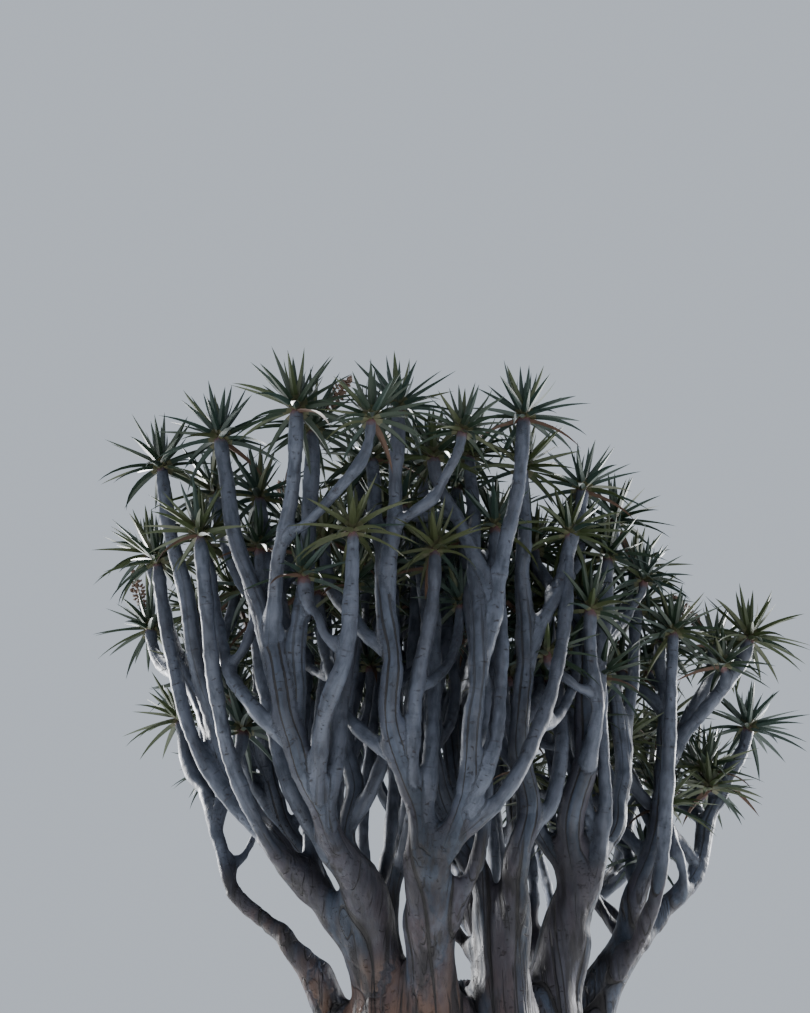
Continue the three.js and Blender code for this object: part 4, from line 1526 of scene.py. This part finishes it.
def addStalk(heap, twig, random):
    sizes = stalkShape
    root = twig["course"].at(1) * mm
    lean = math.radians(sizes["lean"])
    level = np.array([math.cos(twig["stalk"]), math.sin(twig["stalk"]), 0.0])
    along = level * math.sin(lean) + upright * math.cos(lean)
    across = unit(np.cross(along, upright))
    over = np.cross(across, along)
    t = np.linspace(0, 1, sizes["stations"])
    spine = root + np.outer(t * sizes["length"], along)
    spine = spine + np.outer(sizes["bend"] * sizes["length"] * t**2, upright)
    sides = sizes["sides"]
    turns = 2 * np.pi * np.arange(sides) / sides
    ring = np.outer(np.cos(turns), across) + np.outer(np.sin(turns), over)
    radii = sizes["radius"] * (1 - sizes["taper"] * t)
    points = (spine[:, None] + ring[None] * radii[:, None, None]).reshape(-1, 3)
    faces = [(sides * row + k, sides * row + (k + 1) % sides, sides * (row + 1) + (k + 1) % sides,
              sides * (row + 1) + k) for row in range(len(t) - 1) for k in range(sides)]
    faces.append(tuple(reversed(range(sides))))
    faces.append(tuple(range(sides * (len(t) - 1), sides * len(t))))
    heap.add(points, faces, [0] * len(faces))
    for k in range(sizes["cases"]):
        share = sizes["clubFoot"] + (1 - sizes["clubFoot"]) * (k + 0.5) / sizes["cases"]
        centre = np.array([np.interp(share, t, spine[:, axis]) for axis in range(3)])
        turn = math.radians(goldenAngle * k) + random.normal(0, sizes["turnStray"])
        out = across * math.cos(turn) + over * math.sin(turn)
        least, swell = sizes["clubFull"]
        full = math.sin(math.pi * (least + swell * (share - sizes["clubFoot"]) / (1 - sizes["clubFoot"])))
        centre = centre + out * sizes["spread"] * full * random.uniform(*sizes["out"])
        axis = unit(out * sizes["caseOut"] + along * random.uniform(*sizes["along"]))
        first = unit(np.cross(axis, along))
        other = np.cross(axis, first)
        length = sizes["caseLength"] * random.uniform(*sizes["caseLengths"])
        width = sizes["caseWidth"] * random.uniform(*sizes["caseWidths"])
        stalkFoot = centre - out * sizes["spread"] * full * sizes["caseRoot"]
        corners = [centre + axis * length / 2, centre + first * width, centre + other * width,
                   centre - first * width, centre - other * width, stalkFoot]
        heap.add(np.array(corners), [(0, 1, 2), (0, 2, 3), (0, 3, 4), (0, 4, 1), (5, 2, 1), (5, 3, 2),
                                     (5, 4, 3), (5, 1, 4)], [0] * 8)


def makeStalks():
    random = np.random.default_rng(stalkSeed)
    heap = LeafHeap()
    used = []
    for mass in masses:
        for twig in mass["twigs"]:
            if twig["stalk"] is not None:
                addStalk(heap, twig, random)
                used.append(mass["name"])
    piece = linkMesh("seed_stalks", heap.mesh("seed_stalks"))
    workOnAll(piece, lambda: bpy.ops.mesh.normals_make_consistent(inside=False))
    bpy.ops.object.shade_smooth_by_angle(angle=math.radians(stalkShape["sharpEdge"]))
    husk = Shader("seed_husk", stalkShape["roughness"], stalkShape["specular"])
    husk.surface.inputs["Base Color"].default_value = (*stalkShape["color"], 1)
    body = husk.add("TexCoord").outputs["Object"]
    normal = husk.bump(husk.noise(body, *stalkShape["grain"]), *stalkShape["bump"])
    husk.join(normal, husk.surface.inputs["Normal"])
    place(piece, "foliage", [husk.material], sorted(set(used)))
    print("seed stalks made:", len(used))


makeStalks()

# Plain pale floor and soft light: an even sky, a mild sun high behind the tree, and two soft lamps behind
# it that give the limbs their bright edges.
stage = {"floor": 60, "floorColor": (0.50, 0.50, 0.49), "floorRoughness": 0.9,
         "sky": (0.79, 0.87, 0.98), "skyStrength": 0.67, "sun": 9, "sunSpread": 2, "sunTurn": (-12, -3, 0),
         "lamps": ((-5.2, 2.6, 4.2), (5.4, 2.6, 4.2)), "lampPower": 1350, "lampSize": 1.2,
         "lampAim": (0, 0, 3.0)}


def makeStage():
    bpy.ops.object.select_all(action="DESELECT")
    bpy.ops.mesh.primitive_grid_add(x_subdivisions=4, y_subdivisions=4, size=stage["floor"])
    floor = bpy.context.view_layer.objects.active
    floor.name = "floor"
    ground = Shader("floor", stage["floorRoughness"])
    ground.surface.inputs["Base Color"].default_value = (*stage["floorColor"], 1)
    floor.data.materials.append(ground.material)
    world = bpy.data.worlds.new("sky")
    world.use_nodes = True
    world.node_tree.nodes["Background"].inputs["Color"].default_value = (*stage["sky"], 1)
    world.node_tree.nodes["Background"].inputs["Strength"].default_value = stage["skyStrength"]
    bpy.context.scene.world = world
    data = bpy.data.lights.new("sun", "SUN")
    data.energy = stage["sun"]
    data.angle = math.radians(stage["sunSpread"])
    sun = bpy.data.objects.new("sun", data)
    sun.rotation_euler = [math.radians(turn) for turn in stage["sunTurn"]]
    bpy.context.scene.collection.objects.link(sun)
    for k, spot in enumerate(stage["lamps"]):
        data = bpy.data.lights.new(f"lamp_{k + 1}", "AREA")
        data.energy = stage["lampPower"]
        data.size = stage["lampSize"]
        lamp = bpy.data.objects.new(f"lamp_{k + 1}", data)
        lamp.location = spot
        aim = Vector(stage["lampAim"]) - lamp.location
        lamp.rotation_euler = aim.to_track_quat("-Z", "Y").to_euler()
        lamp.visible_camera = False
        bpy.context.scene.collection.objects.link(lamp)


makeStage()

print("pieces placed")
